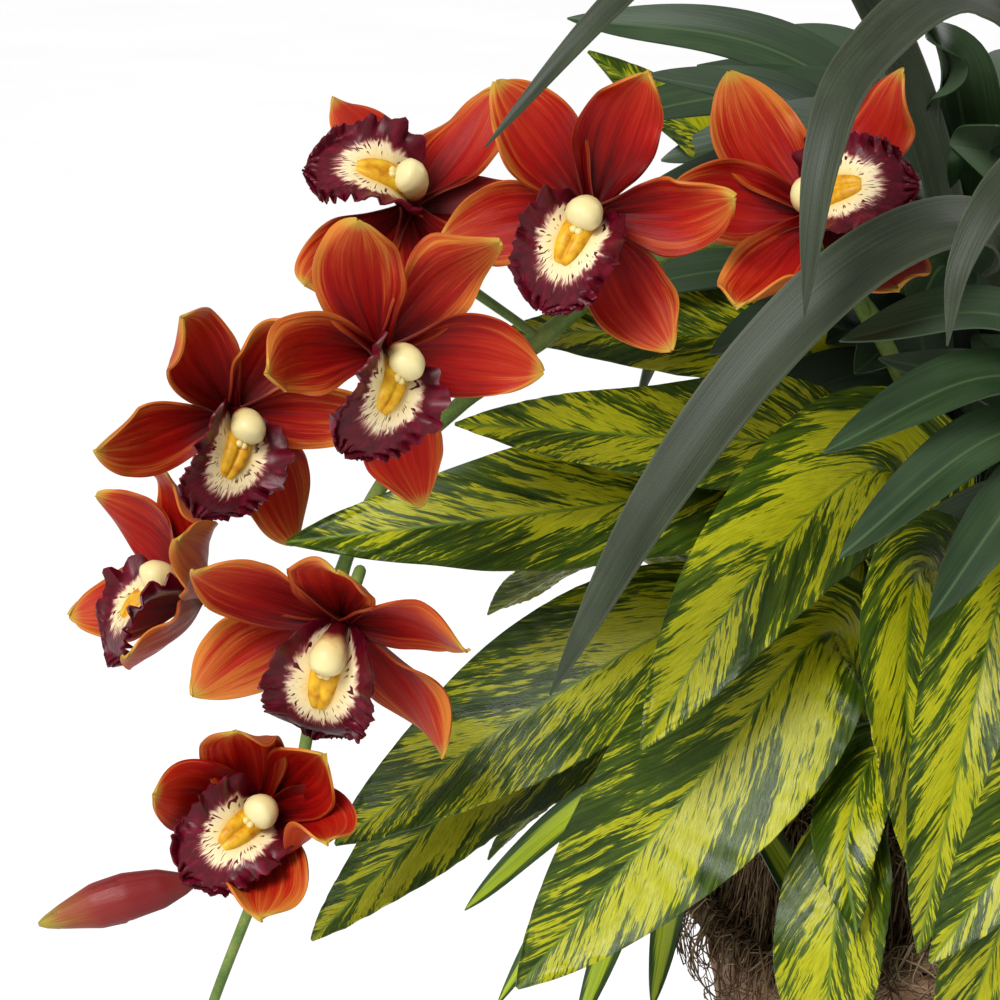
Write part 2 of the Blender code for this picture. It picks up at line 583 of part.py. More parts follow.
def lip(name, centre, axes, opening, length):
    """The trough-shaped lip, curling down, with the column over it."""
    _, top, facing = axes
    start = centre + facing * (hub_front(opening) + GAP)
    reach = length * LIP_LENGTH
    curl = [start + facing * (reach * ahead) - top * (reach * down) for ahead, down in LIP_CURL]
    trough = blade(curl, length * LIP_WIDTH, LIP_THICKNESS, LIP_OUTLINE, LIP_TROUGH, top + facing * LIP_LEAN,
                   LIP_STATIONS)
    rise = length * COLUMN_LENGTH
    arch = [start + facing * (rise * ahead) + top * (rise * up) for ahead, up in COLUMN_ARCH]
    column = tube(arch, ((0.0, COLUMN_RADIUS), (1.0, COLUMN_RADIUS)), COLUMN_SIDES, COLUMN_STATIONS)
    return finish(united([trough, column]), name, "lip")


def bud(name, foot, way):
    knots = [foot, foot + way * (BUD_LENGTH / 2), foot + way * BUD_LENGTH]
    radii = tuple((t, share * BUD_RADIUS) for t, share in BUD_OUTLINE)
    return finish(tube(knots, radii, BUD_SIDES, BUD_STATIONS), name, "bud")


def spray_stem(name, spray, ends):
    """The main stem with one pedicel to each end, given as (place, way in, share along the stem)."""
    root, places = spray
    knots = grown(root, places)
    radii = ((0.0, STEM_RADIUS), (0.5, STEM_RADIUS), (1.0, STEM_RADIUS * 0.6))
    pieces = [tube(knots, radii, STEM_SIDES, STEM_STATIONS, True)]
    points, _ = smooth_path(knots, STEM_STATIONS)
    for place, way, share in ends:
        start = points[round(share * (STEM_STATIONS - 1))]
        end = place - way * PEDICEL_GAP
        straight = min(PEDICEL_BACK, (end - start).length / 2)
        pieces.append(tube([start, end - way * straight, end], ((0.0, PEDICEL_RADIUS), (1.0, PEDICEL_RADIUS)),
                           STEM_SIDES, PEDICEL_STATIONS))
    return finish(united(pieces), name, "stem")


def spray(side, path, flowers, bud_at):
    ends = []
    for number, (place, turn, tip, roll, length, opening, share) in enumerate(flowers, 1):
        centre = above_crown(place)
        axes = flower_axes(turn, tip, roll)
        petals(f"flower_{side}_{number}_petals", centre, axes, opening, length)
        lip(f"flower_{side}_{number}_lip", centre, axes, opening, length)
        ends.append((centre - axes[2] * HUB_BACK, axes[2], share))
    place, way, share = bud_at
    foot, way = above_crown(place), Vector(way).normalized()
    bud(f"bud_{side}", foot, way)
    ends.append((foot, way, share))
    spray_stem(f"spray_stem_{side}", path, ends)


def build():
    clear_scene()
    basket_base()
    basket_wall()
    basket_rim()
    foam()
    moss()
    striped_leaves()
    strap_leaves()
    shoots()
    spray("left", SPRAY_LEFT, FLOWERS_LEFT, BUD_LEFT)
    spray("right", SPRAY_RIGHT, FLOWERS_RIGHT, BUD_RIGHT)


build()
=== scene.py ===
"""The looks of the orchid basket: detailed petals, leaves, stems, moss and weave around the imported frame.

Metres, +Z up, but the tables of places are in millimetres. The front faces -Y. Places on the plant are
(x, y, height above the crown), the crown being the top of the moss mound in the frame.
"""
import math

import bpy
import numpy as np
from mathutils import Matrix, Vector


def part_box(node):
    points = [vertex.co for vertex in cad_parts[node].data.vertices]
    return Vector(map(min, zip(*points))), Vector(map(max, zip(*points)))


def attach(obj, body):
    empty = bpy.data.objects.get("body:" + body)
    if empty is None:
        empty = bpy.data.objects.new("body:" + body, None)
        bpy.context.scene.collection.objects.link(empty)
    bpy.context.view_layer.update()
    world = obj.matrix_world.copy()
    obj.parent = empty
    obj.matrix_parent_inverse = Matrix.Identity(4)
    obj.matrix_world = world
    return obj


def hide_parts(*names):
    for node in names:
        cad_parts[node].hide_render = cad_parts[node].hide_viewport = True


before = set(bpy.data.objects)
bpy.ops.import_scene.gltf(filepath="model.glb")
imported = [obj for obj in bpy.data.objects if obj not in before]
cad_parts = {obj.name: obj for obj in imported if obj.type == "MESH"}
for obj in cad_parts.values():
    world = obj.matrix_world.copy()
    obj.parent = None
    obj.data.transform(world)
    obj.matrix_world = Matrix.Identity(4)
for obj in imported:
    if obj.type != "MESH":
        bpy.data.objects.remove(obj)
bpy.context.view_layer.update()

# ---- Measured from the frame ----
MOSS_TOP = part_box("moss_mound")[1]
RIM_LOW, RIM_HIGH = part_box("basket_rim")
WALL_LOW, WALL_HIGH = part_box("basket_wall")
CROWN = MOSS_TOP.z
MOSS_RADIUS = MOSS_TOP.x
MOSS_RISE = 0.037
FLAT_TOP = 0.36  # share of the radius inside which the mound is flat
MOSS_SHOULDER = CROWN - MOSS_RISE * math.sqrt(1 - FLAT_TOP**2)
RIM_OUT = RIM_HIGH.x
BRAID_RADIUS = 0.0065
RIM_RADIUS = RIM_OUT - BRAID_RADIUS  # middle of the braid
RIM_TOP, RIM_DIP = RIM_HIGH.z - BRAID_RADIUS, RIM_LOW.z + BRAID_RADIUS  # the braid's middle line
RIM_PEAKS = 4
WALL_FOOT = WALL_LOW.z
FOOT_RADIUS = 0.08
TOP_RADIUS = WALL_HIGH.x
STRIP_ROWS = 8
FIBRE_STAND_OFF = 0.004  # how far a strand hangs outside the rim
FIBRE_HANG = 0.03
FIBRES, QUICK_FIBRES = 2300, 450
STAKES = 30
SHADE_LINING_DEPTH = 0.0066  # how far the dark skin of painted shade lies inside the wall

# ---- Camera ----
CAMERA_TARGET = (-0.185, -0.06, 0.097)  # height is above the crown
CAMERA_TILT = 10.0  # degrees down
CAMERA_DISTANCE = 2.0
VIEW_WIDTH = 0.36  # how much the picture takes in at the target
SENSOR = 36.0
KEY_LIGHT, SOFTBOX_WATTS, EDGE_WATTS, SKY = 3.1, 7, 10, 0.44
FLOOR_HALF = 12.0

# ---- Foliage, in millimetres: name, root (x, y) on the moss, points to the tip, width, the way the blade
# faces (a direction) ----
STRIPED_LEAVES = (
    ("front_1", (-22, -50), ((-34, -60, 78), (-50, -78, 112), (-93, -118, 84), (-136, -148, 25)), 54,
     (-0.1, -1, 0.55)),
    ("front_2", (-48, -50), ((-58, -72, 40), (-74, -96, 52), (-120, -118, 0), (-179, -128, -66)), 64,
     (0, -1, 0.45)),
    ("front_3", (-4, -60), ((-18, -84, 60), (-38, -118, 82), (-44, -146, 40), (-36, -150, -32)), 36,
     (0.3, -1, 0.25)),
    ("front_4", (-30, -82), ((-40, -92, 8), (-53, -103, 12), (-63, -124, -14), (-60, -136, -44)), 26,
     (-0.2, -1, 0.6)),
    ("front_5", (-46, -82), ((-52, -94, 0), (-60, -108, -12), (-68, -124, -55), (-70, -126, -112)), 38,
     (-0.4, -1, 0.3)),
    ("front_6", (8, -74), ((2, -100, 62), (-8, -128, 82), (-26, -158, 24), (-40, -160, -45)), 40,
     (0, -1, 0.3)),
    ("front_7", (30, -76), ((32, -112, 24), (20, -150, 34), (-10, -190, 0), (-39, -200, -38)), 44,
     (0.1, -1, 0.4)),
    ("front_8", (14, -94), ((10, -108, 0), (4, -123, -8), (-12, -136, -50), (-30, -140, -100)), 36,
     (0, -1, 0.3)),
    ("left_1", (-46, -12), ((-60, -22, 70), (-95, -40, 98), (-164, -60, 93), (-262, -62, 82)), 54,
     (0.1, -1, 0.9)),
    ("left_2", (-62, -12), ((-78, -18, 36), (-115, -30, 46), (-181, -38, 10), (-246, -36, -36)), 56,
     (-0.1, -1, 0.7)),
    ("left_3", (-70, 10), ((-88, 10, 12), (-120, 6, 18), (-196, -6, -24), (-256, -6, -80)), 46,
     (-0.2, -1, 0.8)),
    ("left_4", (-30, 10), ((-42, 6, 90), (-68, -2, 139), (-118, -8, 150), (-185, -4, 150)), 46,
     (0, -1, 0.7)),
    ("left_5", (-34, -16), ((-44, -26, 90), (-75, -46, 114), (-131, -70, 122), (-201, -78, 128)), 44,
     (0.1, -1, 0.7)),
    ("left_6", (-22, 30), ((-33, 32, 110), (-51, 33, 160), (-92, 34, 205), (-152, 36, 250)), 40,
     (0.3, -1, 0.6)),
)

STRAP_LEAVES = (
    ("1", (16, -34), ((14, -48, 80), (4, -82, 162), (-18, -125, 203), (-55, -158, 200), (-94, -174, 168),
     (-134, -180, 114), (-168, -176, 50)), 24, (-0.4, -1, 0.6)),
    ("2", (34, -20), ((30, -32, 120), (10, -64, 246), (-28, -120, 283), (-64, -168, 264), (-78, -192, 234),
     (-84, -202, 184)), 22, (-0.3, -1, 0.5)),
    ("3", (-10, -4), ((-18, -10, 180), (-60, -52, 290), (-104, -96, 315), (-146, -132, 282),
     (-190, -152, 235)), 15, (-0.3, -1, 0.8)),
    ("4", (52, -40), ((50, -70, 130), (20, -136, 236), (-14, -186, 228), (-32, -204, 203),
     (-37, -208, 175)), 20, (-0.3, -1, 0.5)),
    ("5", (60, 10), ((72, 10, 120), (120, -20, 190), (190, -70, 170), (240, -110, 60)), 23, (0.5, -0.6, 1)),
    ("6", (10, 60), ((6, 80, 120), (-30, 130, 220), (-90, 180, 190), (-130, 200, 90)), 23, (-0.4, 0.8, 1)),
)

# name, root, top of the cane, leaf width, how far a leaf's middle stands above a line, the way the leaves
# face, each leaf's tip
LANCE_SHOOTS = (
    ("front", (44, -66), (36, -118, 150), 20, 16, (0, -1, 1.2), ((-69, -150, 168), (-75, -166, 132),
     (-70, -178, 98), (-40, -186, 78), (10, -208, 70), (110, -170, 110), (130, -130, 160), (-60, -70, 60),
     (-50, -70, 150), (110, -30, 80), (130, -120, 30))),
    ("top", (-2, 16), (-4, 16, 205), 22, 20, (0, -1, 1.2), ((-157, -20, 228), (-160, 36, 262),
     (-90, 120, 250), (20, 150, 240), (130, 80, 260), (160, -35, 215), (60, -40, 315), (-40, -50, 285),
     (-60, 120, 130), (-90, -40, 170), (0, -80, 200), (-120, -50, 100), (90, 0, 180))),
    ("core", (-20, 20), (-35, 20, 170), 20, 14, (0, -1, 1.2), ((-70, -70, 210), (-70, 90, 230),
     (-160, -10, 160), (-30, -50, 130), (-110, -60, 150), (70, 70, 60), (-150, -30, 60), (60, 50, 150),
     (80, 70, 40), (70, -60, 170))),
    ("back", (20, 78), (30, 110, 90), 21, 18, (0.2, 1, 1.2), ((-60, 190, 110), (-10, 220, 30),
     (60, 215, 100), (110, 190, 30), (140, 130, 120), (150, 110, 20), (-90, 120, 20), (-60, 30, 0),
     (-60, 40, 110), (120, 40, 100))),
    ("low", (-86, -30), (-116, -52, 6), 18, 6, (-0.3, -1, 0.9), ((-198, -40, -60), (-186, -62, -90),
     (-158, -70, -100), (-130, -84, -85), (-100, 40, -30), (-50, -130, -90), (-150, 50, -90))),
)

STRIPED_SHOOTS = (
    ("right", (60, -20), (84, -26, 60), 48, 22, (0.5, -0.6, 1.2), ((232, -50, -10), (205, 50, 50),
     (180, -130, -40), (160, -160, 40), (200, -20, 110), (140, 110, -30), (50, -180, 30), (50, -150, -60),
     (120, 80, 80), (190, -10, -80))),
    ("back", (-50, 60), (-70, 84, 50), 46, 20, (-0.4, 0.8, 1.2), ((-190, 120, 20), (-150, 190, -40),
     (-40, 210, -50), (-100, 190, 80), (-200, 70, -50), (-100, 10, 60), (50, 180, 10), (-210, 40, 60),
     (-190, 40, -60))),
)

CANE_RADIUS = 0.0028
CANE_LEAVES_FROM = 0.45
BROAD_FULLNESS = 1.1  # how much wider a leaf is than its stiff solid, with its ruffled margins
LANCE_FULLNESS = 1.12
LIME_SLIMNESS = 0.62
VEIN_LEAN = 2.3  # how far along the leaf a side vein runs for each step out from the midrib

# The short dark leaves in the heart of the plant, in metres: how many, heights they start at, reach, rise to
# the tip, width
HEART = (-0.008, 0.014)
HEART_RADIUS = 0.012
HEART_FRONT = -0.052
HEART_TIERS = (
    (30, (0.02, 0.17), (0.045, 0.072), (0.000, 0.05), 0.022),
    (22, (0.18, 0.206), (0.085, 0.15), (0.000, 0.075), 0.026),
)
GOLDEN_ANGLE = math.pi * (3 - math.sqrt(5))

# Where a flower stem stands on the moss, then the points it runs through, in millimetres
SPRAY_LEFT = (
    (-14, -20),
    ((-18, -24, 70), (-36, -34, 130), (-63, -45, 176), (-100, -48, 190), (-135, -42, 180), (-169, -36, 153),
     (-200, -26, 126), (-226, -12, 98), (-243, -2, 62), (-254, -2, 13), (-262, -8, -25), (-275, -14, -57),
     (-288, -16, -90), (-296, -16, -112)),
)

SPRAY_RIGHT = (
    (26, 14),
    ((34, 20, 80), (54, 30, 160), (90, 36, 215), (135, 36, 225), (180, 30, 195), (220, 22, 145),
     (250, 14, 85), (268, 10, 25)),
)

# centre in millimetres; turned left, tipped up and rolled, in degrees; tepal length; opening; share along the
# spray. A bud has its foot, its direction and its share.
FLOWERS_LEFT = (
    ((-217, -70, 203), 10, 45, -88, 56, 77, 0.5),
    ((-153, -118, 208), 13, -1, -23, 55, 84, 0.42),
    ((-73, -104, 205), 9, 30, 94, 58, 65, 0.27),
    ((-227, -140, 163), -26, -11, -38, 57, 75, 0.55),
    ((-283, -28, 124), -17, -16, -29, 56, 70, 0.61),
    ((-295, -16, 52), 66, 21, -5, 55, 50, 0.72),
    ((-241, -88, 59), 19, -39, -18, 62, 69, 0.77),
    ((-272, -64, -18), 2, 11, -48, 56, 34, 0.86),
)

FLOWERS_RIGHT = (
    ((86, -40, 252), -20, 15, 10, 56, 76, 0.46),
    ((176, -34, 238), -35, 5, 20, 57, 72, 0.64),
    ((246, 80, 150), -130, 5, -12, 56, 70, 0.8),
    ((262, -46, 88), -50, -10, 25, 55, 64, 0.88),
)

BUD_LEFT = ((-300, -26, -53), (-1, -0.1, -0.26), 0.9)
BUD_RIGHT = ((286, -6, -6), (0.55, -0.3, -0.8), 0.97)
SEPAL_ANGLES = (90, 215, -35)
PETAL_ANGLES = (148, 32)
PETAL_FORWARD = 0.0013
TEPAL_WIDTH = 0.5
TEPAL_FULLNESS = 1.06
TEPAL_BOW = 0.1
HUB_FRONT = 0.004
HUB_BACK = 0.0035
COLUMN_RADIUS = 0.003
LIP_LENGTH = 0.62  # of the tepal's length
LIP_CURL = ((-0.05, 0.0), (0.22, 0.03), (0.46, 0.18), (0.6, 0.47), (0.6, 0.76), (0.5, 0.97))  # ahead, down
LIP_HALF_WIDTH = ((0, 0.1), (0.12, 0.21), (0.3, 0.36), (0.48, 0.38), (0.62, 0.31), (0.78, 0.28),
                  (0.9, 0.21), (0.97, 0.11), (1.0, 0.04))  # along the lip, share of the tepal's length
LIP_BEND = ((0, 1.3), (0.3, 1.15), (0.5, 0.8), (0.65, 0.35), (0.85, -0.2), (1.0, -0.5))
CALLUS_HALF_WIDTH = 0.0054
CALLUS_HEIGHT = 0.003
BUD_LENGTH = 0.058
BUD_RADIUS = 0.0092
STEM_RADIUS = 0.0032
STALK_RADII = (0.0016, 0.0024)
STALK_STRAIGHT = 0.02  # how much of a flower's stalk runs straight into it
NODE_SWELL = (1.06, 1.18, 1.25, 1.18, 1.06)

BROAD_THICK, STRAP_THICK, LANCE_THICK, TEPAL_THICK, LIP_THICK = 0.0007, 0.0011, 0.0007, 0.001, 0.0008

# First seed of each kind: a piece's own number is added
STRIPED_SEED, STRAP_SEED, LANCE_SEED, STRIPED_SHOOT_SEED, SHOOT_SEEDS = 11, 41, 61, 181, 20
HEART_SEED, HEART_LEAF_SEED, LEFT_SEED, RIGHT_SEED, LIP_SEED = 401, 410, 200, 300, 500
WALL_SEED, FIBRE_SEED = 7, 23


# ---- Small vector helpers ----

def unit(v):
    return v / np.maximum(np.linalg.norm(v, axis=-1, keepdims=True), 1e-12)


def smooth_step(low, high, x):
    t = np.clip((x - low) / (high - low), 0.0, 1.0)
    return t * t * (3 - 2 * t)


def mound_height(radius):
    share = np.minimum(radius / MOSS_RADIUS, 1.0)
    return MOSS_SHOULDER + MOSS_RISE * np.sqrt(1 - share * share)


def on_mound(x, y):
    return np.array((x, y, mound_height(math.hypot(x, y))))


def metres(place):
    """A place in metres, from millimetres."""
    return [value / 1000 for value in place]


def above_crown(place):
    return np.array((place[0], place[1], CROWN + place[2]), float)


def smooth_path(knots, count, crowd=1.0):
    """Points along a smooth curve through the knots; crowd over 1 packs them towards the end."""
    knots = np.asarray(knots, float)
    ends = np.vstack([2 * knots[0] - knots[1], knots, 2 * knots[-1] - knots[-2]])
    t = (np.arange(16) / 16)[:, None]
    runs = []
    for a, b, c, d in zip(ends, ends[1:], ends[2:], ends[3:]):
        runs.append(0.5 * (2 * b + (c - a) * t + (2 * a - 5 * b + 4 * c - d) * t**2
                           + (3 * b - a - 3 * c + d) * t**3))
    fine = np.vstack([*runs, knots[-1:]])
    run = np.concatenate([[0.0], np.cumsum(np.linalg.norm(np.diff(fine, axis=0), axis=1))])
    wanted = run[-1] * (1 - (1 - np.linspace(0, 1, count)) ** crowd)
    return np.stack([np.interp(wanted, run, fine[:, k]) for k in range(3)], axis=1)


def outline(t, base, peak, roundness, taper, petiole=0.0):
    """Width shares along a blade: a stalk, a rise to the widest place, and a fall to the tip."""
    rise = np.clip((t - petiole) / (peak - petiole), 0, 1)
    fall = np.clip((t - peak) / (1 - peak), 0, 1)
    rising = base + (1 - base) * np.sin(rise * math.pi / 2) ** 1.4
    return np.where(t < peak, rising, (1 - fall**roundness) ** taper)


def turned(radius, angle, height):
    """Points at a radius, an angle round the basket and a height."""
    return np.stack([radius * np.cos(angle), radius * np.sin(angle), height], -1)


# ---- Meshes ----

def linked(name, data):
    made = bpy.data.objects.new(name, data)
    bpy.context.scene.collection.objects.link(made)
    return made


def add_mesh(name, points, faces, shade=45.0):
    mesh = bpy.data.meshes.new(name)
    mesh.from_pydata(np.asarray(points).tolist(), [], faces)
    mesh.shade_smooth()
    mesh.set_sharp_from_angle(angle=math.radians(shade))
    return linked(name, mesh)


def give(piece, name, values):
    """A vector for each vertex, which the materials read."""
    layer = piece.data.attributes.new(name, "FLOAT_VECTOR", "POINT")
    layer.data.foreach_set("vector", np.ascontiguousarray(values, np.float32).ravel())


def dress(piece, material, slot, *nodes):
    piece.data.materials.append(material)
    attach(piece, "root")
    if nodes:
        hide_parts(*nodes)
    return piece


def grid_normals(grid):
    along = np.gradient(grid, axis=0)
    across = np.gradient(grid, axis=1)
    return unit(np.cross(across, along))


def sheet(grid, thickness):
    """Points and faces of a thin closed solid round a grid of points (rows, columns, 3)."""
    rows, columns = grid.shape[:2]
    half = grid_normals(grid) * (thickness / 2)
    points = np.concatenate([(grid + half).reshape(-1, 3), (grid - half).reshape(-1, 3)])
    index = np.arange(rows * columns).reshape(rows, columns)
    under = index + rows * columns
    a, b, c, d = index[:-1, :-1], index[:-1, 1:], index[1:, 1:], index[1:, :-1]
    top = np.stack([a, b, c, d], -1).reshape(-1, 4)
    bottom = top[:, ::-1] + rows * columns
    sides = [
        np.stack([index[0, 1:], index[0, :-1], under[0, :-1], under[0, 1:]], -1),
        np.stack([index[-1, :-1], index[-1, 1:], under[-1, 1:], under[-1, :-1]], -1),
        np.stack([index[:-1, 0], index[1:, 0], under[1:, 0], under[:-1, 0]], -1),
        np.stack([index[1:, -1], index[:-1, -1], under[:-1, -1], under[1:, -1]], -1),
    ]
    return points, np.concatenate([top, bottom, *sides]).tolist()


def tube(path, radii, sides, flat=1.0):
    """Points and faces of a closed rod along a path; flat squashes its section."""
    ways = unit(np.gradient(path, axis=0))
    side = unit(np.cross(ways[0], (0.31, 0.87, 0.39)))
    frames = []
    for way in ways:
        side = unit(side - way * side.dot(way))
        frames.append(side)
    frames = np.array(frames)
    others = np.cross(ways, frames) * flat
    angles = np.linspace(0, math.tau, sides, endpoint=False)
    radii = np.broadcast_to(radii, (len(path),))[:, None, None]
    rings = path[:, None] + radii * (frames[:, None] * np.cos(angles)[:, None]
                                     + others[:, None] * np.sin(angles)[:, None])
    count = len(path)
    ring = np.arange(count * sides).reshape(count, sides)
    turned = np.roll(ring, -1, axis=1)
    walls = np.stack([ring[:-1], turned[:-1], turned[1:], ring[1:]], -1).reshape(-1, 4).tolist()
    caps = [ring[0, ::-1].tolist(), ring[-1].tolist()]
    return rings.reshape(-1, 3), walls + caps


def joined(parts):
    """One list of points and faces from several."""
    points, faces, offset = [], [], 0
    for part_points, part_faces in parts:
        points.append(part_points)
        faces += [[i + offset for i in face] for face in part_faces]
        offset += len(part_points)
    return np.concatenate(points), faces


# ---- Leaf blades ----

def blade_frame(path, up, turn):
    """Sideways and upward directions along a path, turned about it by an angle at each point."""
    ways = unit(np.gradient(path, axis=0))
    up = unit(up - ways * (ways @ up)[:, None])
    side, turn = np.cross(ways, up), turn[:, None]
    return side * np.cos(turn) + up * np.sin(turn), up * np.cos(turn) - side * np.sin(turn)


def blade_grid(path, width, shares, facing, across, trough, wave=0.0, waves=5, twist=0.0, seed=0, cup=1.6):
    """A blade's surface: a curved trough along the path with wavy margins."""
    t = np.linspace(0, 1, len(path))
    side, up = blade_frame(path, np.asarray(facing, float), twist * t)
    a = np.linspace(-1, 1, across)
    half = (width / 2 * shares)[:, None]
    lift = half * trough * np.abs(a) ** cup
    phase = seed * 1.7 + 1.9 * np.sign(a)
    ripple = wave * np.sin(math.tau * waves * t[:, None] + phase) * np.abs(a) ** 3
    offset = lift + ripple * np.sin(t * math.pi)[:, None]
    return path[:, None] + side[:, None] * (half * a)[..., None] + up[:, None] * offset[..., None]


def leaf_attributes(grid, seed):
    """(across, along, seed) in metres and (across, along, face) in shares, for both faces of a sheet."""
    rows, columns = grid.shape[:2]
    middle = grid[:, columns // 2]
    run = np.concatenate([[0.0], np.cumsum(np.linalg.norm(np.diff(middle, axis=0), axis=1))])
    width = np.linalg.norm(grid[:, -1] - grid[:, 0], axis=1) / 2
    a = np.broadcast_to(np.linspace(-1, 1, columns), (rows, columns))
    t = np.broadcast_to((run / run[-1])[:, None], (rows, columns))
    place = np.stack([a * width[:, None], np.broadcast_to(run[:, None], a.shape), np.full(a.shape, seed)], -1)
    faces = [np.stack([a, t, np.full(a.shape, side)], -1).reshape(-1, 3) for side in (1.0, -1.0)]
    place = place.reshape(-1, 3)
    return np.concatenate([place, place]), np.concatenate(faces)


def blades_piece(name, grids, thickness, seeds):
    """One mesh of thin blades, with what the materials read at each vertex."""
    piece = add_mesh(name, *joined([sheet(grid, thickness) for grid in grids]))
    values = [leaf_attributes(grid, seed) for grid, seed in zip(grids, seeds)]
    for attribute, found in zip(("grain", "share"), zip(*values)):
        give(piece, attribute, np.concatenate(found))
    return piece


def quilted(grid, seed, depth, pitch, lean):
    """Raised ribs between slanting side veins, and a groove along the middle."""
    grain, _ = leaf_attributes(grid, seed)
    half = grid.shape[0] * grid.shape[1]
    across = grain[:half, 0].reshape(grid.shape[:2])
    along = grain[:half, 1].reshape(grid.shape[:2])
    line = along - lean * np.abs(across)
    ribs = depth * np.sin(math.tau * line / pitch) * smooth_step(0.001, 0.006, np.abs(across))
    groove = -0.0007 * np.exp(-(across / 0.0016) ** 2)
    return grid + grid_normals(grid) * (ribs + groove)[..., None]


def broad_leaf(name, knots, width, facing, seed, *nodes):
    rows = 72
    path = smooth_path(knots, rows, 1.15)
    shares = np.maximum(outline(np.linspace(0, 1, rows), 0.09, 0.46, 1.7, 0.95, 0.1), 0.012)
    rng = np.random.default_rng(seed)
    waves, twist = rng.uniform(2.2, 3.6), rng.uniform(-0.1, 0.1)
    grid = blade_grid(path, width * BROAD_FULLNESS, shares, facing, 21, 0.2, 0.0022, waves, twist, seed)
    grid = quilted(grid, seed, 0.00045, 0.0066, VEIN_LEAN)
    dress(blades_piece(name, [grid], BROAD_THICK, [seed]), STRIPED, "striped_leaf", *nodes)


def strap_leaf(name, knots, width, facing, seed, *nodes):
    rows = 90
    path = smooth_path(knots, rows, 1.1)
    shares = np.maximum(outline(np.linspace(0, 1, rows), 0.42, 0.55, 2.6, 1.0), 0.02)
    grid = blade_grid(path, width, shares, facing, 11, 0.22, 0.0004, 2.5, 0.0, seed, 1.3)
    dress(blades_piece(name, [grid], STRAP_THICK, [seed]), STRAP, "strap_leaf", *nodes)


def lance_grid(knots, width, facing, seed):
    rows = 46
    path = smooth_path(knots, rows, 1.15)
    shares = np.maximum(outline(np.linspace(0, 1, rows), 0.34, 0.46, 2.0, 0.95), 0.02)
    twist = np.random.default_rng(seed).uniform(-0.25, 0.25)
    return blade_grid(path, width * LANCE_FULLNESS, shares, facing, 9, 0.3, 0.0006, 2.0, twist, seed, 1.1)


def lance_leaf(name, knots, width, facing, seed, *nodes):
    grid = lance_grid(knots, width, facing, seed)
    dress(blades_piece(name, [grid], LANCE_THICK, [seed]), LANCE, "lance_leaf", *nodes)


def lime_leaf(name, knots, width, facing, seed, *nodes):
    grid = lance_grid(knots, width * LIME_SLIMNESS, facing, seed)
    dress(blades_piece(name, [grid], LANCE_THICK, [seed]), LIME, "striped_leaf", *nodes)


def grown(root, places):
    """The root on the moss, then the places, from millimetres."""
    return [on_mound(*metres(root)), *(above_crown(metres(place)) for place in places)]


def shoot(kind, entry, grow, seed):
    """A cane from the moss with leaves arching over from it."""
    name, root, top, width, arch, facing, places = entry
    node = f"{kind}_shoot_{name}"
    foot, head, *tips = grown(root, (top, *places))
    steps = 30
    swell = 1 + 0.1 * np.cos(np.linspace(0, math.tau * 5, steps))
    path = smooth_path([foot, (foot + head) / 2, head], steps)
    cane = add_mesh(f"{node}_cane", *tube(path, CANE_RADIUS * swell, 12))
    dress(cane, STEM, f"{kind}_leaf", node)
    for number, tip in enumerate(tips):
        start = head + (foot - head) * (CANE_LEAVES_FROM * number / len(tips))
        middle = (start + tip) / 2 + np.array((0, 0, arch / 1000))
        grow(f"{node}_leaf_{number + 1}", [start, middle, tip], width / 1000, facing, seed + number, node)


def heart():
    """The short dark leaves that fill the middle of the plant, in one mesh."""
    rng = np.random.default_rng(HEART_SEED)
    grids, seeds = [], []
    for count, heights, reaches, rises, width in HEART_TIERS:
        for place in range(count):
            number = len(grids) + 1
            way = number * GOLDEN_ANGLE
            out = np.array((math.cos(way), math.sin(way), 0.0))
            height = heights[0] + (heights[1] - heights[0]) * place / (count - 1)
            start = above_crown((*HEART, height)) + out * HEART_RADIUS
            tip = start + out * rng.uniform(*reaches) + np.array((0, 0, rng.uniform(*rises)))
            tip[1] = max(tip[1], HEART_FRONT)
            middle = (start + tip) / 2 + np.array((0, 0, rng.uniform(0.008, 0.02)))
            seeds.append(HEART_LEAF_SEED + number)
            facing = (0.3 * out[0], 0.6 * out[1] - 0.6, 1.0)
            grids.append(lance_grid([start, middle, tip], width, facing, seeds[-1]))
    piece = blades_piece("heart_leaves", grids, LANCE_THICK, seeds)
    dress(piece, LANCE, "lance_leaf", "lance_shoot_core")


def foliage():
    for kind, leaves, grow, seed in (("striped", STRIPED_LEAVES, broad_leaf, STRIPED_SEED),
                                     ("strap", STRAP_LEAVES, strap_leaf, STRAP_SEED)):
        for number, (name, root, places, width, facing) in enumerate(leaves):
            knots, node = grown(root, places), f"{kind}_leaf_{name}"
            grow(f"{kind}_{name}", knots, width / 1000, facing, seed + number, node)
    for number, entry in enumerate(LANCE_SHOOTS):
        grow = lime_leaf if entry[0] == "low" else lance_leaf
        shoot("lance", entry, grow, LANCE_SEED + SHOOT_SEEDS * number)
    for number, entry in enumerate(STRIPED_SHOOTS):
        shoot("striped", entry, broad_leaf, STRIPED_SHOOT_SEED + SHOOT_SEEDS * number)
    heart()


# ---- Orchids ----

def flower_axes(turn, tip, roll):
    turn, tip, roll = (math.radians(a) for a in (turn, tip, roll))
    facing = np.array((-math.sin(turn) * math.cos(tip), -math.cos(turn) * math.cos(tip), math.sin(tip)))
    top = unit(np.array((0, 0, 1.0)) - facing * facing[2])
    right = np.cross(top, facing)
    c, s = math.cos(roll), math.sin(roll)
    return right * c + top * s, top * c - right * s, facing


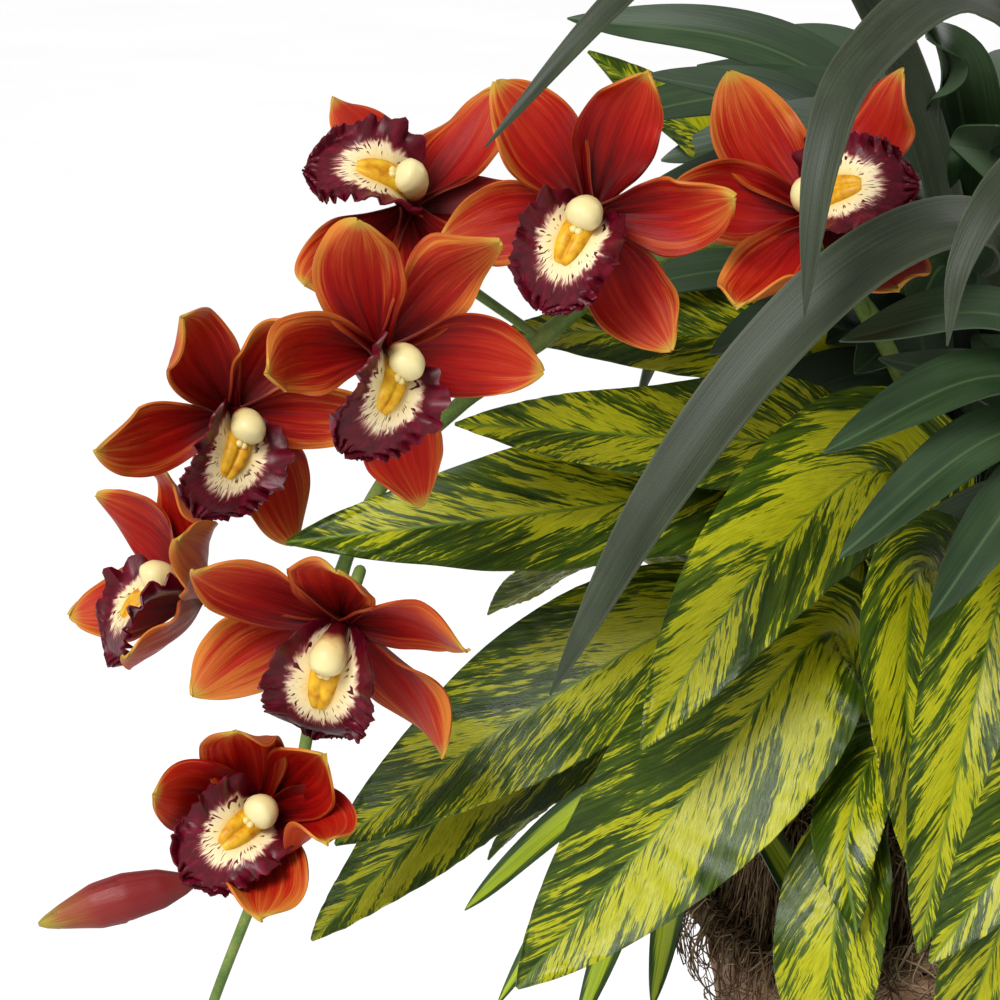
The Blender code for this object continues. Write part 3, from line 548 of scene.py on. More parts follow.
def tepal_grid(centre, angle, axes, opening, length, rng):
    """One tepal: cupped and channelled at its base, its margins rolled and rippled further out."""
    right, top, facing = axes
    angle, opening = math.radians(angle), math.radians(opening)
    outward = right * math.cos(angle) + top * math.sin(angle)
    way = outward * math.sin(opening) + facing * math.cos(opening)
    back = outward * way.dot(facing) - facing * way.dot(outward)
    sideways = np.cross(way, back)
    bend, hook = rng.uniform(-0.07, 0.07), rng.uniform(-0.1, 0.08)
    knots = [centre,
             centre + (way * 0.3 + back * (TEPAL_BOW * 0.85) + sideways * (bend * 0.7)) * length,
             centre + (way * 0.62 + back * (TEPAL_BOW * 0.95) + sideways * bend) * length,
             centre + (way + back * hook) * length]
    rows, columns, crowd = 44, 25, 1.35
    path = smooth_path(knots, rows, crowd)
    t = 1 - (1 - np.linspace(0, 1, rows)) ** crowd
    shares = np.maximum(outline(t, 0.2, rng.uniform(0.48, 0.6), 2.0, 0.8), 0.02)
    side, up = blade_frame(path, facing, rng.uniform(-0.6, 0.6) * t)
    a = np.linspace(-1, 1, columns)
    half = (length * TEPAL_WIDTH * TEPAL_FULLNESS / 2 * shares)[:, None]
    cup = np.interp(t, (0, 0.35, 0.7, 1.0), (0.95, 0.5, rng.uniform(-0.15, 0.38), rng.uniform(-0.5, 0.6)))
    lift = half * cup[:, None] * np.abs(a) ** 2.3
    t = t[:, None]
    lean = half * 0.3 * rng.uniform(-1, 1) * np.sign(a) * np.abs(a) ** 3 * smooth_step(0.2, 0.8, t)
    waves, phase = rng.uniform(1.3, 2.6), rng.uniform(0, 9)
    ripple = 0.0016 * np.sin(math.tau * waves * t + phase + 2.1 * np.sign(a)) * np.abs(a) ** 4
    veins = 0.00012 * np.cos(math.tau * 3.5 * a) * smooth_step(1.0, 0.6, t)
    groove = -0.0009 * np.exp(-(a / 0.1) ** 2) * smooth_step(1.0, 0.5, t)
    offset = (lift + lean + veins + groove + ripple * smooth_step(0.1, 0.5, t))[..., None]
    return path[:, None] + side[:, None] * (half * a)[..., None] + up[:, None] * offset


def tepals(name, centre, axes, opening, length, seed, node):
    rng = np.random.default_rng(seed)
    places = [(centre, angle) for angle in SEPAL_ANGLES]
    places += [(centre + axes[2] * PETAL_FORWARD, angle) for angle in PETAL_ANGLES]
    grids = [tepal_grid(*place, axes, opening + rng.uniform(-4, 4), length * rng.uniform(0.97, 1.03), rng)
             for place in places]
    seeds = [seed + number * 0.37 for number in range(len(grids))]
    dress(blades_piece(name, grids, TEPAL_THICK, seeds), PETAL, "petal", node)


def hub_front(opening):
    return HUB_FRONT + COLUMN_RADIUS / math.tan(math.radians(opening))


def lip_grid(start, axes, length, rng):
    """The lip: side lobes that stand up round the column and a frilled front lobe that curls down."""
    right, top, facing = axes
    reach = length * LIP_LENGTH
    knots = [start + facing * (reach * ahead) - top * (reach * down) for ahead, down in LIP_CURL]
    rows, columns = 60, 57
    path = smooth_path(knots, rows)
    t, a = np.linspace(0, 1, rows), np.linspace(-1, 1, columns)
    up = unit(np.cross(unit(np.gradient(path, axis=0)), right))
    half = length * np.interp(t, *zip(*LIP_HALF_WIDTH))[:, None]
    bend = np.interp(t, *zip(*LIP_BEND))[:, None]
    t = t[:, None]
    nicks = np.sin(math.tau * 13 * t + rng.uniform(0, 6))
    nicks = nicks + 0.8 * np.sin(math.tau * 21 * t + rng.uniform(0, 6))
    half = half * (1 + 0.035 * nicks * smooth_step(0.25, 0.5, t))
    arc = bend * np.abs(a)
    arc = np.where(np.abs(arc) < 1e-4, 1e-4, arc)
    edge = np.maximum(np.abs(a), smooth_step(0.75, 1.0, t))
    frill = smooth_step(0.58, 1.0, edge) * 0.0021 * smooth_step(0.05, 0.35, t)
    round_tip = 2.6 * a * smooth_step(0.55, 1.0, t)
    wave = np.sin(math.tau * (6.5 * t + round_tip) + rng.uniform(0, 6) + 1.3 * np.sign(a))
    wave = wave + 0.5 * np.sin(math.tau * (11.0 * t + 1.7 * round_tip) + rng.uniform(0, 6))
    x = half * a * np.sin(arc) / arc
    y = half * np.abs(a) * (1 - np.cos(arc)) / arc + frill * wave
    grid = path[:, None] + right * x[..., None] + up[:, None] * y[..., None]
    return grid[:, ::-1]


def lip_share(grid):
    """For each point of the lip: how far out from the throat, which way round it, and which face."""
    rows, columns = grid.shape[:2]
    a = np.linspace(-1, 1, columns)[None, :] * np.ones((rows, 1))
    b = ((np.linspace(0, 1, rows) - 0.42) / 0.58)[:, None] * np.ones((1, columns))
    b = np.where(b < 0, b * 0.45, b)
    out = (np.abs(a) ** 2.6 + np.abs(b) ** 2.6) ** (1 / 2.6)
    way = np.arctan2(a, b)
    faces = [np.stack([out, way, np.full(out.shape, side)], -1).reshape(-1, 3) for side in (1.0, -1.0)]
    return np.concatenate(faces)


def lip(name, centre, axes, opening, length, seed, node):
    rng = np.random.default_rng(seed + LIP_SEED)
    start = centre + axes[2] * hub_front(opening)
    grid = lip_grid(start, axes, length, rng)
    piece = add_mesh(f"{name}_lip_blade", *sheet(grid, LIP_THICK))
    give(piece, "grain", leaf_attributes(grid, seed)[0])
    give(piece, "share", lip_share(grid))
    dress(piece, LIP, "lip", node)
    ridges(f"{name}_callus", grid, axes)
    column(f"{name}_column", start, axes, length)


def ridges(name, grid, axes):
    """The raised plate along the lip's throat: two low ridges with a groove between them."""
    middle = grid.shape[1] // 2
    rows = slice(5, 37)
    line, normals = grid[rows, middle], grid_normals(grid)[rows, middle]
    a = np.linspace(-1, 1, 23)
    swell = np.sin(np.linspace(0.1, math.pi - 0.1, len(line)))[:, None]
    height = CALLUS_HEIGHT * swell ** 0.6 * ((1 - a**6) * (1 - 0.38 * np.exp(-(a / 0.2) ** 2)))[None]
    plate = line[:, None] + axes[0] * (CALLUS_HALF_WIDTH * swell ** 0.4 * a)[..., None]
    plate = plate + normals[:, None] * height[..., None]
    piece = add_mesh(name, *sheet(plate[:, ::-1], 0.0006), shade=80)
    dress(piece, CALLUS, "lip")


def column(name, start, axes, length):
    """The arched column, wider towards its rounded head, and the two-lobed anther under it."""
    right, top, facing = axes
    rise = length * 0.31
    knots = [start + (facing * ahead + top * up) * rise
             for ahead, up in ((-0.12, 0.02), (0.4, 0.16), (0.82, 0.14), (1.06, -0.06))]
    rows, sides = 28, 20
    path = smooth_path(knots, rows)
    t = np.linspace(0, 1, rows)
    radii = np.interp(t, (0, 0.3, 0.6, 0.78, 0.9, 0.97, 1.0),
                      (0.003, 0.0038, 0.006, 0.0067, 0.0059, 0.0038, 0.001))
    points, faces = tube(path, radii, sides)
    centre = np.repeat(path, sides, axis=0)
    away = points - centre
    below = np.clip(-(away @ top) / 0.0055, 0, 1)[:, None]
    beak = smooth_step(0.72, 0.92, np.repeat(t, sides))[:, None]
    points = points + top * (below * 0.0016) - (top * 0.0012 - facing * 0.0006) * (beak * below)
    piece = add_mesh(name, points, faces, shade=80)
    give(piece, "share", np.stack([np.repeat(t, sides), below[:, 0], np.zeros(len(points))], -1))
    dress(piece, COLUMN, "lip")
    bulge = 0.0015 * np.sin(np.linspace(0.15, math.pi - 0.15, 12)) ** 0.7
    lobes = []
    for side in (-1, 1):
        at = path[-4] - top * 0.004 + right * (side * 0.001) + facing * 0.0004
        lobes.append(tube(smooth_path([at + top * 0.0014, at, at - top * 0.0014], 12), bulge, 12))
    dress(add_mesh(f"{name}_anther", *joined(lobes), shade=80), ANTHER, "lip")


def bud(name, place, way, seed, node):
    """A closed bud: three overlapping sepals wrapped to a point."""
    rows, sides, third = 44, 30, math.tau / 3
    foot, way = above_crown(metres(place)), unit(np.asarray(way, float))
    middle = foot + way * (BUD_LENGTH * 0.5) + np.array((0, 0, 0.0012))
    path = smooth_path([foot - way * 0.001, middle, foot + way * BUD_LENGTH], rows)
    t = np.linspace(0, 1, rows)
    radii = BUD_RADIUS * np.interp(t, (0, 0.05, 0.2, 0.42, 0.62, 0.85, 0.96, 1.0),
                                   (0.28, 0.45, 0.82, 1.0, 0.93, 0.5, 0.24, 0.08))
    points, faces = tube(path, radii, sides)
    angle = np.tile(np.linspace(0, math.tau, sides, endpoint=False), rows)
    along = np.repeat(t, sides)
    lap = ((angle + 0.5 * along + seed) % third) / third
    centre = np.repeat(path, sides, axis=0)
    points = centre + (points - centre) * (1 + 0.1 * (1 - lap) ** 3 - 0.03)[:, None]
    piece = add_mesh(name, points, faces, shade=70)
    give(piece, "share", np.stack([lap, along, angle], -1))
    dress(piece, BUD, "bud", node)
    return foot, way


def spray(side, entry, flowers, bud_at, seed):
    """A stem, and a stalk from it to each flower and to the bud at its end."""
    steps, reach = 160, len(NODE_SWELL) // 2
    path = smooth_path(grown(*entry), steps)
    radii = STEM_RADIUS * np.interp(np.linspace(0, 1, steps), (0, 0.5, 1), (1, 1, 0.6))
    ends = []
    for number, (place, turn, tip, roll, length, opening, share) in enumerate(flowers, 1):
        centre, axes = above_crown(metres(place)), flower_axes(turn, tip, roll)
        name, size = f"flower_{side}_{number}", length / 1000
        tepals(f"{name}_tepals", centre, axes, opening, size, seed + number, f"{name}_petals")
        lip(name, centre, axes, opening, size, seed + number, f"{name}_lip")
        ends.append((centre - axes[2] * HUB_BACK * 0.6, axes[2], share))
    place, way, share = bud_at
    ends.append((*bud(f"{side}_bud", place, way, seed, f"bud_{side}"), share))
    stalks = []
    for end, way, share in ends:
        joint = round(share * (steps - 1))
        start = path[joint]
        straight = min(STALK_STRAIGHT, np.linalg.norm(end - start) / 2)
        line = smooth_path([start, end - way * straight, end], 26)
        stalks.append(tube(line, np.linspace(*STALK_RADII, 26), 10))
        swollen = radii[joint - reach: joint + reach + 1]
        swollen *= NODE_SWELL[:len(swollen)]
    stem = add_mesh(f"spray_{side}", *joined([tube(path, radii, 14), *stalks]), shade=60)
    dress(stem, STEM, "stem", f"spray_stem_{side}")


# ---- Basket ----

def rim_line(angle):
    """Height of the braid's middle line."""
    middle, wave = (RIM_TOP + RIM_DIP) / 2, (RIM_TOP - RIM_DIP) / 2
    return middle + wave * np.cos(RIM_PEAKS * angle)


def woven_wall():
    """Flat strips in rows, each woven in front of and behind upright stakes."""
    rng = np.random.default_rng(WALL_SEED)
    angle = np.linspace(0, math.tau, STAKES * 8 + 1)[:, None]
    heights = np.linspace(-0.04, 1.04, 6)
    crown = -0.0009 * (2 * heights - 1) ** 2
    parts, grains = [], []
    for row in range(STRIP_ROWS):
        low, high = row / STRIP_ROWS, (row + 1) / STRIP_ROWS
        wobble = 0.006 * np.sin(angle * rng.integers(2, 5) + rng.uniform(0, 6))
        share = np.clip(low + (high - low) * heights + wobble, 0.0, 1.02)
        z = WALL_FOOT + (rim_line(angle) - BRAID_RADIUS - WALL_FOOT) * share
        wall = FOOT_RADIUS + (TOP_RADIUS - FOOT_RADIUS) * share
        over = 0.0016 * np.cos(STAKES / 2 * angle + math.pi * row)
        r = wall - 0.003 + over + crown + 0.0008 * heights
        parts.append(sheet(turned(r, angle, z), 0.0014))
        run = np.broadcast_to(angle * TOP_RADIUS, z.shape)
        grain = np.stack([z, run, np.full(z.shape, row * 1.0)], -1).reshape(-1, 3)
        grains += [grain, grain]
    wall = add_mesh("basket_strips", *joined(parts), shade=50)
    give(wall, "grain", np.concatenate(grains))
    dress(wall, STRIP, "strip", "basket_wall")
    posts = []
    for stake in range(STAKES):
        at = math.tau * (stake + 0.5) / STAKES
        line = [turned(FOOT_RADIUS - 0.0032, at, WALL_FOOT),
                turned(TOP_RADIUS - 0.0034, at, rim_line(at) - BRAID_RADIUS * 0.5)]
        posts.append(tube(smooth_path(line, 12), 0.0016, 8))
    dress(add_mesh("basket_stakes", *joined(posts), shade=60), STAKE, "strip")
    shade_lining()


def shade_lining():
    """A dark inner skin, so no light shows through the weave; its near-black colour is painted shade seen
    through the gaps.
    """
    angle = np.linspace(0, math.tau, 97)[:, None]
    share = np.linspace(0, 0.98, 12)
    z = WALL_FOOT + (rim_line(angle) - BRAID_RADIUS - WALL_FOOT) * share
    r = FOOT_RADIUS + (TOP_RADIUS - FOOT_RADIUS) * share - SHADE_LINING_DEPTH
    dress(add_mesh("basket_shade_lining", *sheet(turned(r, angle, z), 0.0012), shade=50), SHADE_LINING, "strip")


def braided_rim():
    """Three strands of twisted fibre plaited along the rim."""
    strands, crossings, steps, sides = 3, 26, 900, 12
    angle = np.linspace(0, math.tau, steps)
    parts, grains = [], []
    for strand in range(strands):
        u = crossings * angle + math.tau * strand / strands
        path = turned(RIM_RADIUS + 0.0038 * np.sin(u), angle, rim_line(angle) + 0.0026 * np.sin(2 * u))
        parts.append(tube(path, 0.0034 + 0.0003 * np.sin(u * 3.1), sides, 0.8))
        around = np.tile(np.arange(sides) / sides, steps)
        run = np.repeat(angle * RIM_RADIUS, sides)
        grains.append(np.stack([around, run, np.full(around.shape, strand)], -1))
    piece = add_mesh("basket_braid", *joined(parts), shade=70)
    give(piece, "grain", np.concatenate(grains))
    dress(piece, BRAID, "braid", "basket_rim")


def moss():
    """A lumpy dark mound under a tangle of curling fibres."""
    share = np.linspace(1, 0, 60)[:, None]
    angle = np.linspace(0, math.tau, 121)
    radius = MOSS_RADIUS * np.sin(share * math.pi / 2) * np.ones(len(angle))
    lump = 0.003 * (np.sin(7 * angle + 11 * share) + np.sin(13 * angle - 17 * share))
    height = mound_height(radius) + lump * np.sin(share * math.pi) - 0.004
    dome = turned(radius, angle, height)
    hem = rim_line(angle) - 0.012
    sides = [np.stack([dome[0, :, 0], dome[0, :, 1], hem + (height[0] - hem) * (1 - drop)], -1)
             for drop in np.linspace(1, 0, 8, endpoint=False)]
    grid = np.concatenate([np.array(sides), dome])
    dress(add_mesh("moss_bed", *sheet(grid[:, ::-1], 0.0015), shade=80), MOSS_BED, "moss", "moss_mound")
    fibres()


def fibres():
    """Coir strands: most curl on the mound, the others run out over the rim and hang a little way down."""
    rng = np.random.default_rng(FIBRE_SEED)
    steps = 15
    parts, grains = [], []
    for number in range(FIBRES):
        over_rim = number % 5 < 2
        at = rng.uniform(0, math.tau)
        out = MOSS_RADIUS * (rng.uniform(0.86, 1.04) if over_rim else math.sqrt(rng.uniform(0.1, 1.05)))
        length = rng.uniform(0.04, 0.095)
        heading = at + rng.normal(0, 0.9) if over_rim else rng.uniform(0, math.tau)
        turn = rng.normal(0, 2.4)
        wiggle = 0.9 * np.sin(np.linspace(0, rng.uniform(4, 13), steps))
        way = heading + turn * np.linspace(0, 1, steps) + wiggle
        stride = length / steps
        x = out * math.cos(at) + np.cumsum(np.cos(way)) * stride
        y = out * math.sin(at) + np.cumsum(np.sin(way)) * stride
        r = np.hypot(x, y)
        beyond = np.maximum(r - RIM_OUT, 0.0)
        hung = RIM_OUT + FIBRE_STAND_OFF * (1 - np.exp(-beyond / FIBRE_STAND_OFF))
        keep = np.where(beyond > 0, hung / r, 1.0)
        x, y = x * keep, y * keep
        braid_top = rim_line(np.arctan2(y, x)) + BRAID_RADIUS
        shoulder = mound_height(np.minimum(r, MOSS_RADIUS))
        z = shoulder + (np.minimum(braid_top, shoulder) - shoulder) * smooth_step(MOSS_RADIUS, RIM_RADIUS, r)
        z = z - FIBRE_HANG * (1 - np.exp(-beyond / 0.016))
        curl = np.abs(np.sin(np.linspace(0, rng.uniform(3, 9), steps) + rng.uniform(0, 6)))
        z = z + 0.0035 * curl * rng.uniform(0.3, 1.3)
        path = np.stack([x, y, z - 0.001], -1)
        thick = rng.uniform(0.00028, 0.00062)
        points, faces = tube(path, thick * np.linspace(1, 0.5, steps), 3)
        parts.append((points, faces))
        grains.append(np.broadcast_to((rng.uniform(0, 1), rng.uniform(0, 1), number * 0.01), points.shape))
    piece = add_mesh("moss_fibres", *joined(parts), shade=180)
    give(piece, "grain", np.concatenate(grains))
    dress(piece, FIBRE, "moss")


# ---- Materials ----

class Wire:
    """A number that runs between nodes. Arithmetic on it adds a math node."""

    def __init__(self, shader, socket):
        self.shader, self.socket = shader, socket

    def __mul__(self, other):
        return self.shader.math("MULTIPLY", self, other)

    def __add__(self, other):
        return self.shader.math("ADD", self, other)

    def __sub__(self, other):
        return self.shader.math("SUBTRACT", self, other)

    def __pow__(self, other):
        return self.shader.math("POWER", self, other)

    def __abs__(self):
        return self.shader.math("ABSOLUTE", self)


class Shader:
    """A material's node tree, with short calls for the nodes used here."""

    def __init__(self, name):
        self.material = bpy.data.materials.new(name)
        self.material.use_nodes = True
        self.tree = self.material.node_tree
        self.surface = self.tree.nodes["Principled BSDF"]

    def put(self, socket, value):
        if isinstance(value, Wire):
            self.tree.links.new(value.socket, socket)
        elif isinstance(value, tuple) and socket.type == "RGBA":
            socket.default_value = (*value, 1)
        else:
            socket.default_value = value

    def node(self, kind, inputs, output=0, **settings):
        """A new node's output, by its place or its name."""
        node = self.tree.nodes.new(f"ShaderNode{kind}")
        for name, value in settings.items():
            setattr(node, name, value)
        for key, value in inputs.items():
            self.put(node.inputs[key], value)
        return Wire(self, node.outputs[output])

    def math(self, operation, a, b=0):
        return self.node("Math", {0: a, 1: b}, operation=operation)

    def read(self, name):
        """The three numbers that each vertex holds under this name."""
        return self.split(self.node("Attribute", {}, "Vector", attribute_name=name))

    def split(self, vector):
        parts = self.node("SeparateXYZ", {0: vector}).socket.node.outputs
        return [Wire(self, socket) for socket in parts]

    def here(self):
        return self.node("TexCoord", {}, "Object")

    def place(self, at):
        return self.node("CombineXYZ", dict(enumerate(at))) if isinstance(at, tuple) else at

    def noise(self, at, detail=2, rough=0.5, scale=1):
        inputs = {"Vector": self.place(at), "Scale": scale, "Detail": detail, "Roughness": rough}
        return self.node("TexNoise", inputs)

    def cells(self, at):
        return self.node("TexVoronoi", {"Vector": self.place(at), "Scale": 1}, "Distance")

    def step(self, value, low, high):
        """0 below low, 1 above high, smooth between."""
        inputs = dict(enumerate((value, low, high, 0, 1)))
        return self.node("MapRange", inputs, interpolation_type="SMOOTHSTEP")

    def mix(self, factor, a, b):
        return self.node("Mix", {"Factor": factor, 6: a, 7: b}, 2, data_type="RGBA")

    def underside(self, face, share, a, b):
        """b's share of the colour on a blade's back."""
        return self.mix(self.step(face, 0, -0.5) * share, a, b)

    def ramp(self, value, *stops):
        node = self.tree.nodes.new("ShaderNodeValToRGB")
        band = node.color_ramp
        while len(band.elements) < len(stops):
            band.elements.new(0.5)
        for element, (place, *colour) in zip(band.elements, stops):
            element.position = place
            element.color = (*colour, 1)
        self.put(node.inputs[0], value)
        return Wire(self, node.outputs[0])

    def bump(self, height, strength, distance):
        inputs = {"Height": height, "Strength": strength, "Distance": distance}
        self.put(self.surface.inputs["Normal"], self.node("Bump", inputs))

    def finish(self, colour, roughness, specular=0.3):
        for key, value in (("Base Color", colour), ("Roughness", roughness),
                           ("Specular IOR Level", specular)):
            self.put(self.surface.inputs[key], value)
        return self.material


def striped_material():
    """Green with broken yellow streaks that leave the midrib at a slant, and whole green patches."""
    s = Shader("striped leaf")
    across, along, seed = s.read("grain")
    share, _, face = s.read("share")
    out = abs(across)
    shift = seed * 3.7 + s.math("SIGN", across) * 5
    sway = s.noise((along * 30, out * 60, shift), 1)
    line = along - out * VEIN_LEAN + sway * 0.008
    fine = s.noise((line * 900, out * 420, shift), 3, 0.65)
    dash = s.noise((line * 420, out * 230, shift + 13), 2, 0.6)
    broad = s.noise((line * 150, out * 60, shift + 31), 1)
    patch = s.noise((line * 24, out * 55, shift + 57), 1)
    mass = (fine * 0.34 + dash * 0.55) + (broad * 0.46 + patch * 0.62) - abs(share) ** 2 * 0.12
    tone = s.noise((line * 240, out * 50, shift))
    green = s.ramp(tone,
                   (0.3, 0.012, 0.026, 0.001), (0.55, 0.03, 0.058, 0.002), (0.75, 0.066, 0.104, 0.004))
    green = s.mix(s.step(mass, 0.87, 0.97) * 0.6, green, (0.12, 0.165, 0.004))
    yellow = s.ramp(fine, (0.3, 0.23, 0.245, 0.004), (0.65, 0.4, 0.39, 0.008))
    colour = s.mix(s.step(mass, 0.95, 0.995), green, yellow)
    colour = s.mix(s.step(out, 0.0009, 0.0004) * 0.7, colour, (0.085, 0.15, 0.01))
    colour = s.underside(face, 0.3, colour, (0.12, 0.17, 0.04))
    s.bump(fine * 1 + tone * 1.2, 0.4, 0.0004)
    return s.finish(colour, tone * 0.24 + 0.17, 0.22)


def strap_material():
    """Matte slate green with fine lengthwise lines and a faint pale bloom."""
    s = Shader("strap leaf")
    across, along, seed = s.read("grain")
    share, _, face = s.read("share")
    lines = s.noise((across * 1500, along * 12, seed))
    bloom = s.noise((across * 90, along * 30, seed), 4)
    speck = s.noise((across * 1600, along * 1600, seed))
    colour = s.ramp(lines * 0.35 + bloom * 0.45 + speck * 0.2,
                    (0.3, 0.013, 0.019, 0.009), (0.52, 0.028, 0.037, 0.019), (0.72, 0.056, 0.069, 0.04))
    colour = s.mix(s.step(abs(share), 0.88, 1) * 0.45, colour, (0.085, 0.1, 0.055))
    colour = s.underside(face, 0.35, colour, (0.065, 0.082, 0.055))
    s.bump(lines + speck * 0.3, 0.5, 0.0003)
    return s.finish(colour, bloom * 0.22 + 0.36, 0.26)


def lance_material():
    """Dark green, half glossy, with a paler midrib; some leaves are greyer."""
    s = Shader("lance leaf")
    across, along, seed = s.read("grain")
    face = s.read("share")[2]
    lines = s.noise((across * 1300, along * 14, seed))
    patches = s.noise((across * 70, along * 24, seed))
    colour = s.ramp(lines * 0.4 + patches * 0.6,
                    (0.3, 0.01, 0.024, 0.008), (0.55, 0.022, 0.046, 0.015), (0.78, 0.05, 0.088, 0.03))
    grey = s.step(s.noise((seed * 7.7, 0, 0), 0), 0.4, 0.62)
    colour = s.mix(grey * 0.55, colour, (0.062, 0.09, 0.058))
    colour = s.mix(s.step(abs(across), 0.0008, 0.0003) * 0.5, colour, (0.075, 0.125, 0.05))
    colour = s.underside(face, 0.45, colour, (0.07, 0.105, 0.06))
    s.bump(lines, 0.45, 0.00025)
    return s.finish(colour, patches * 0.24 + 0.26, 0.3)


def lime_material():
    """Slender leaves with a lime middle and dark green margins."""
    s = Shader("lime leaf")
    across, along, seed = s.read("grain")
    share = s.read("share")[0]
    lines = s.noise((across * 1100, along * 16, seed))
    green = s.ramp(lines, (0.3, 0.012, 0.03, 0.006), (0.7, 0.035, 0.075, 0.012))
    lime = s.ramp(lines, (0.3, 0.17, 0.25, 0.008), (0.7, 0.36, 0.43, 0.025))
    colour = s.mix(s.step(abs(share) + (lines - 0.5) * 0.9, 0.7, 0.48), green, lime)
    s.bump(lines, 0.45, 0.00025)
    return s.finish(colour, 0.34, 0.3)


def petal_material():
    """Deep red at the base through orange-red to gold at margin and tip, streaked lengthwise."""
    s = Shader("orchid tepal")
    across, along, seed = s.read("grain")
    share, t, face = s.read("share")
    own = s.noise((seed * 3.3, 0, 0), 0) - 0.5  # how far this tepal leans to gold
    blotch = s.noise((across * 120, along * 50, seed * 9), 3)
    broad = s.noise((share * 6.5, t * 1.1, seed * 5), 3, 0.6)
    fine = s.noise((share * 30, t * 2.2, seed * 5), 4, 0.7)
    streaks = (broad - 0.5) * 0.75 + (fine - 0.5) * 0.55
    colour = s.ramp(t + (blotch - 0.5) * 0.3 + streaks + own * 0.7,
                    (0.08, 0.06, 0.0004, 0.001), (0.28, 0.165, 0.001, 0.001), (0.52, 0.3, 0.003, 0.001),
                    (0.78, 0.38, 0.018, 0.004), (1, 0.45, 0.065, 0.012))
    rim = abs(share) ** 2.2 * 0.55 + t ** 4 * 0.45 + streaks * 1.7 + own * 1.3
    rim = s.step(rim, 0.3, 0.92) * s.step(t, 0.12, 0.6)
    colour = s.mix(rim * 0.85, colour, (0.56, 0.19, 0.026))
    colour = s.mix(s.step(t + streaks * 0.1, 0.9, 1) * 0.7, colour, (0.44, 0.34, 0.045))
    veins = s.math("SINE", share * 24 + blotch * 9)
    dark = s.step(veins, 0.1, 1) * s.step(t, 1.05, 0.3)
    colour = s.mix(dark * 0.3, colour, (0.135, 0.001, 0.001))
    colour = s.underside(face, 0.4, colour, (0.36, 0.07, 0.02))
    s.bump(veins * 0.25 + fine * 1.5, 0.35, 0.0004)
    return s.finish(colour, fine * 0.2 + 0.36, 0.15)


def lip_material():
    """Cream throat with burgundy dashes, and a wide burgundy margin that feathers into it."""
    s = Shader("orchid lip")
    across, along, seed = s.read("grain")
    out, way, face = s.read("share")
    wobble = s.noise((across * 240, along * 240, seed), 3)
    rays = s.noise((way * 9, out * 1.6, seed), 3, 0.65)
    reach = out + (rays - 0.5) * 0.5 + (wobble - 0.5) * 0.12
    cream = s.ramp(out, (0.15, 0.64, 0.4, 0.08), (0.34, 0.74, 0.59, 0.29), (0.55, 0.76, 0.63, 0.4))
    dashes = s.noise((way * 17, out * 7, seed + 40), 0)
    spot = s.step(dashes, 0.63, 0.67) * (s.step(out, 0.28, 0.4) * s.step(out, 0.85, 0.7))
    colour = s.mix(spot, cream, (0.07, 0.001, 0.008))
    colour = s.mix(s.step(reach, 0.48, 0.6) * 0.75, colour, (0.25, 0.01, 0.035))
    wine = s.ramp(rays * 0.6 + wobble * 0.4,
                  (0.28, 0.026, 0.0003, 0.002), (0.5, 0.08, 0.001, 0.007), (0.74, 0.19, 0.004, 0.026))
    colour = s.mix(s.step(reach, 0.53, 0.64), colour, wine)
    colour = s.underside(face, 0.8, colour, (0.13, 0.003, 0.014))
    s.bump(wobble + rays, 0.45, 0.0005)
    return s.finish(colour, 0.38, 0.22)


def column_material():
    """Pale yellow, flushed red underneath and towards the foot."""
    s = Shader("orchid column")
    t, below, _ = s.read("share")
    blush = s.noise(s.here(), 3, scale=260)
    colour = s.ramp(t + (blush - 0.5) * 0.25,
                    (0.1, 0.08, 0.001, 0.004), (0.4, 0.15, 0.006, 0.01), (0.54, 0.56, 0.33, 0.12),
                    (0.66, 0.7, 0.57, 0.24), (1, 0.76, 0.66, 0.34))
    flush = s.step(below + (blush - 0.5) * 0.7, 0.35, 0.95)
    colour = s.mix(flush * 0.75, colour, (0.5, 0.18, 0.05))
    s.bump(blush, 0.25, 0.0004)
    return s.finish(colour, 0.34, 0.28)


def bud_material():
    """Wine red, darker where a sepal's margin lies over the next, and green-gold at the point."""
    s = Shader("orchid bud")
    lap, t, _ = s.read("share")
    lines = s.noise((lap * 14, t * 3, 0), 4, 0.65)
    colour = s.ramp(t + (lines - 0.5) * 0.35,
                    (0.05, 0.15, 0.016, 0.014), (0.3, 0.17, 0.008, 0.01), (0.62, 0.22, 0.02, 0.016),
                    (0.82, 0.26, 0.08, 0.02), (0.95, 0.32, 0.25, 0.03))
    colour = s.mix(s.step(lap, 0.12, 0) * 0.8, colour, (0.075, 0.008, 0.01))
    s.bump(lines, 0.5, 0.0006)
    return s.finish(colour, 0.4, 0.25)


def stem_material():
    s = Shader("green stem")
    broad = s.noise(s.here(), 3, scale=60)
    fine = s.noise(s.here(), scale=900)
    colour = s.ramp(broad * 0.7 + fine * 0.3,
                    (0.3, 0.06, 0.11, 0.022), (0.52, 0.13, 0.2, 0.04), (0.72, 0.26, 0.26, 0.07))
    s.bump(fine, 0.4, 0.0003)
    return s.finish(colour, 0.42, 0.25)


def fibre_material():
    s = Shader("moss fibre")
    tone, warm, _ = s.read("grain")
    colour = s.ramp(tone, (0.05, 0.03, 0.018, 0.009), (0.45, 0.105, 0.068, 0.034),
                    (0.8, 0.21, 0.15, 0.082), (1, 0.36, 0.28, 0.17))
    colour = s.mix(warm * 0.35, colour, (0.14, 0.06, 0.03))
    s.bump(s.noise(s.here(), scale=1500), 0.4, 0.0002)
    return s.finish(colour, 0.8, 0.15)


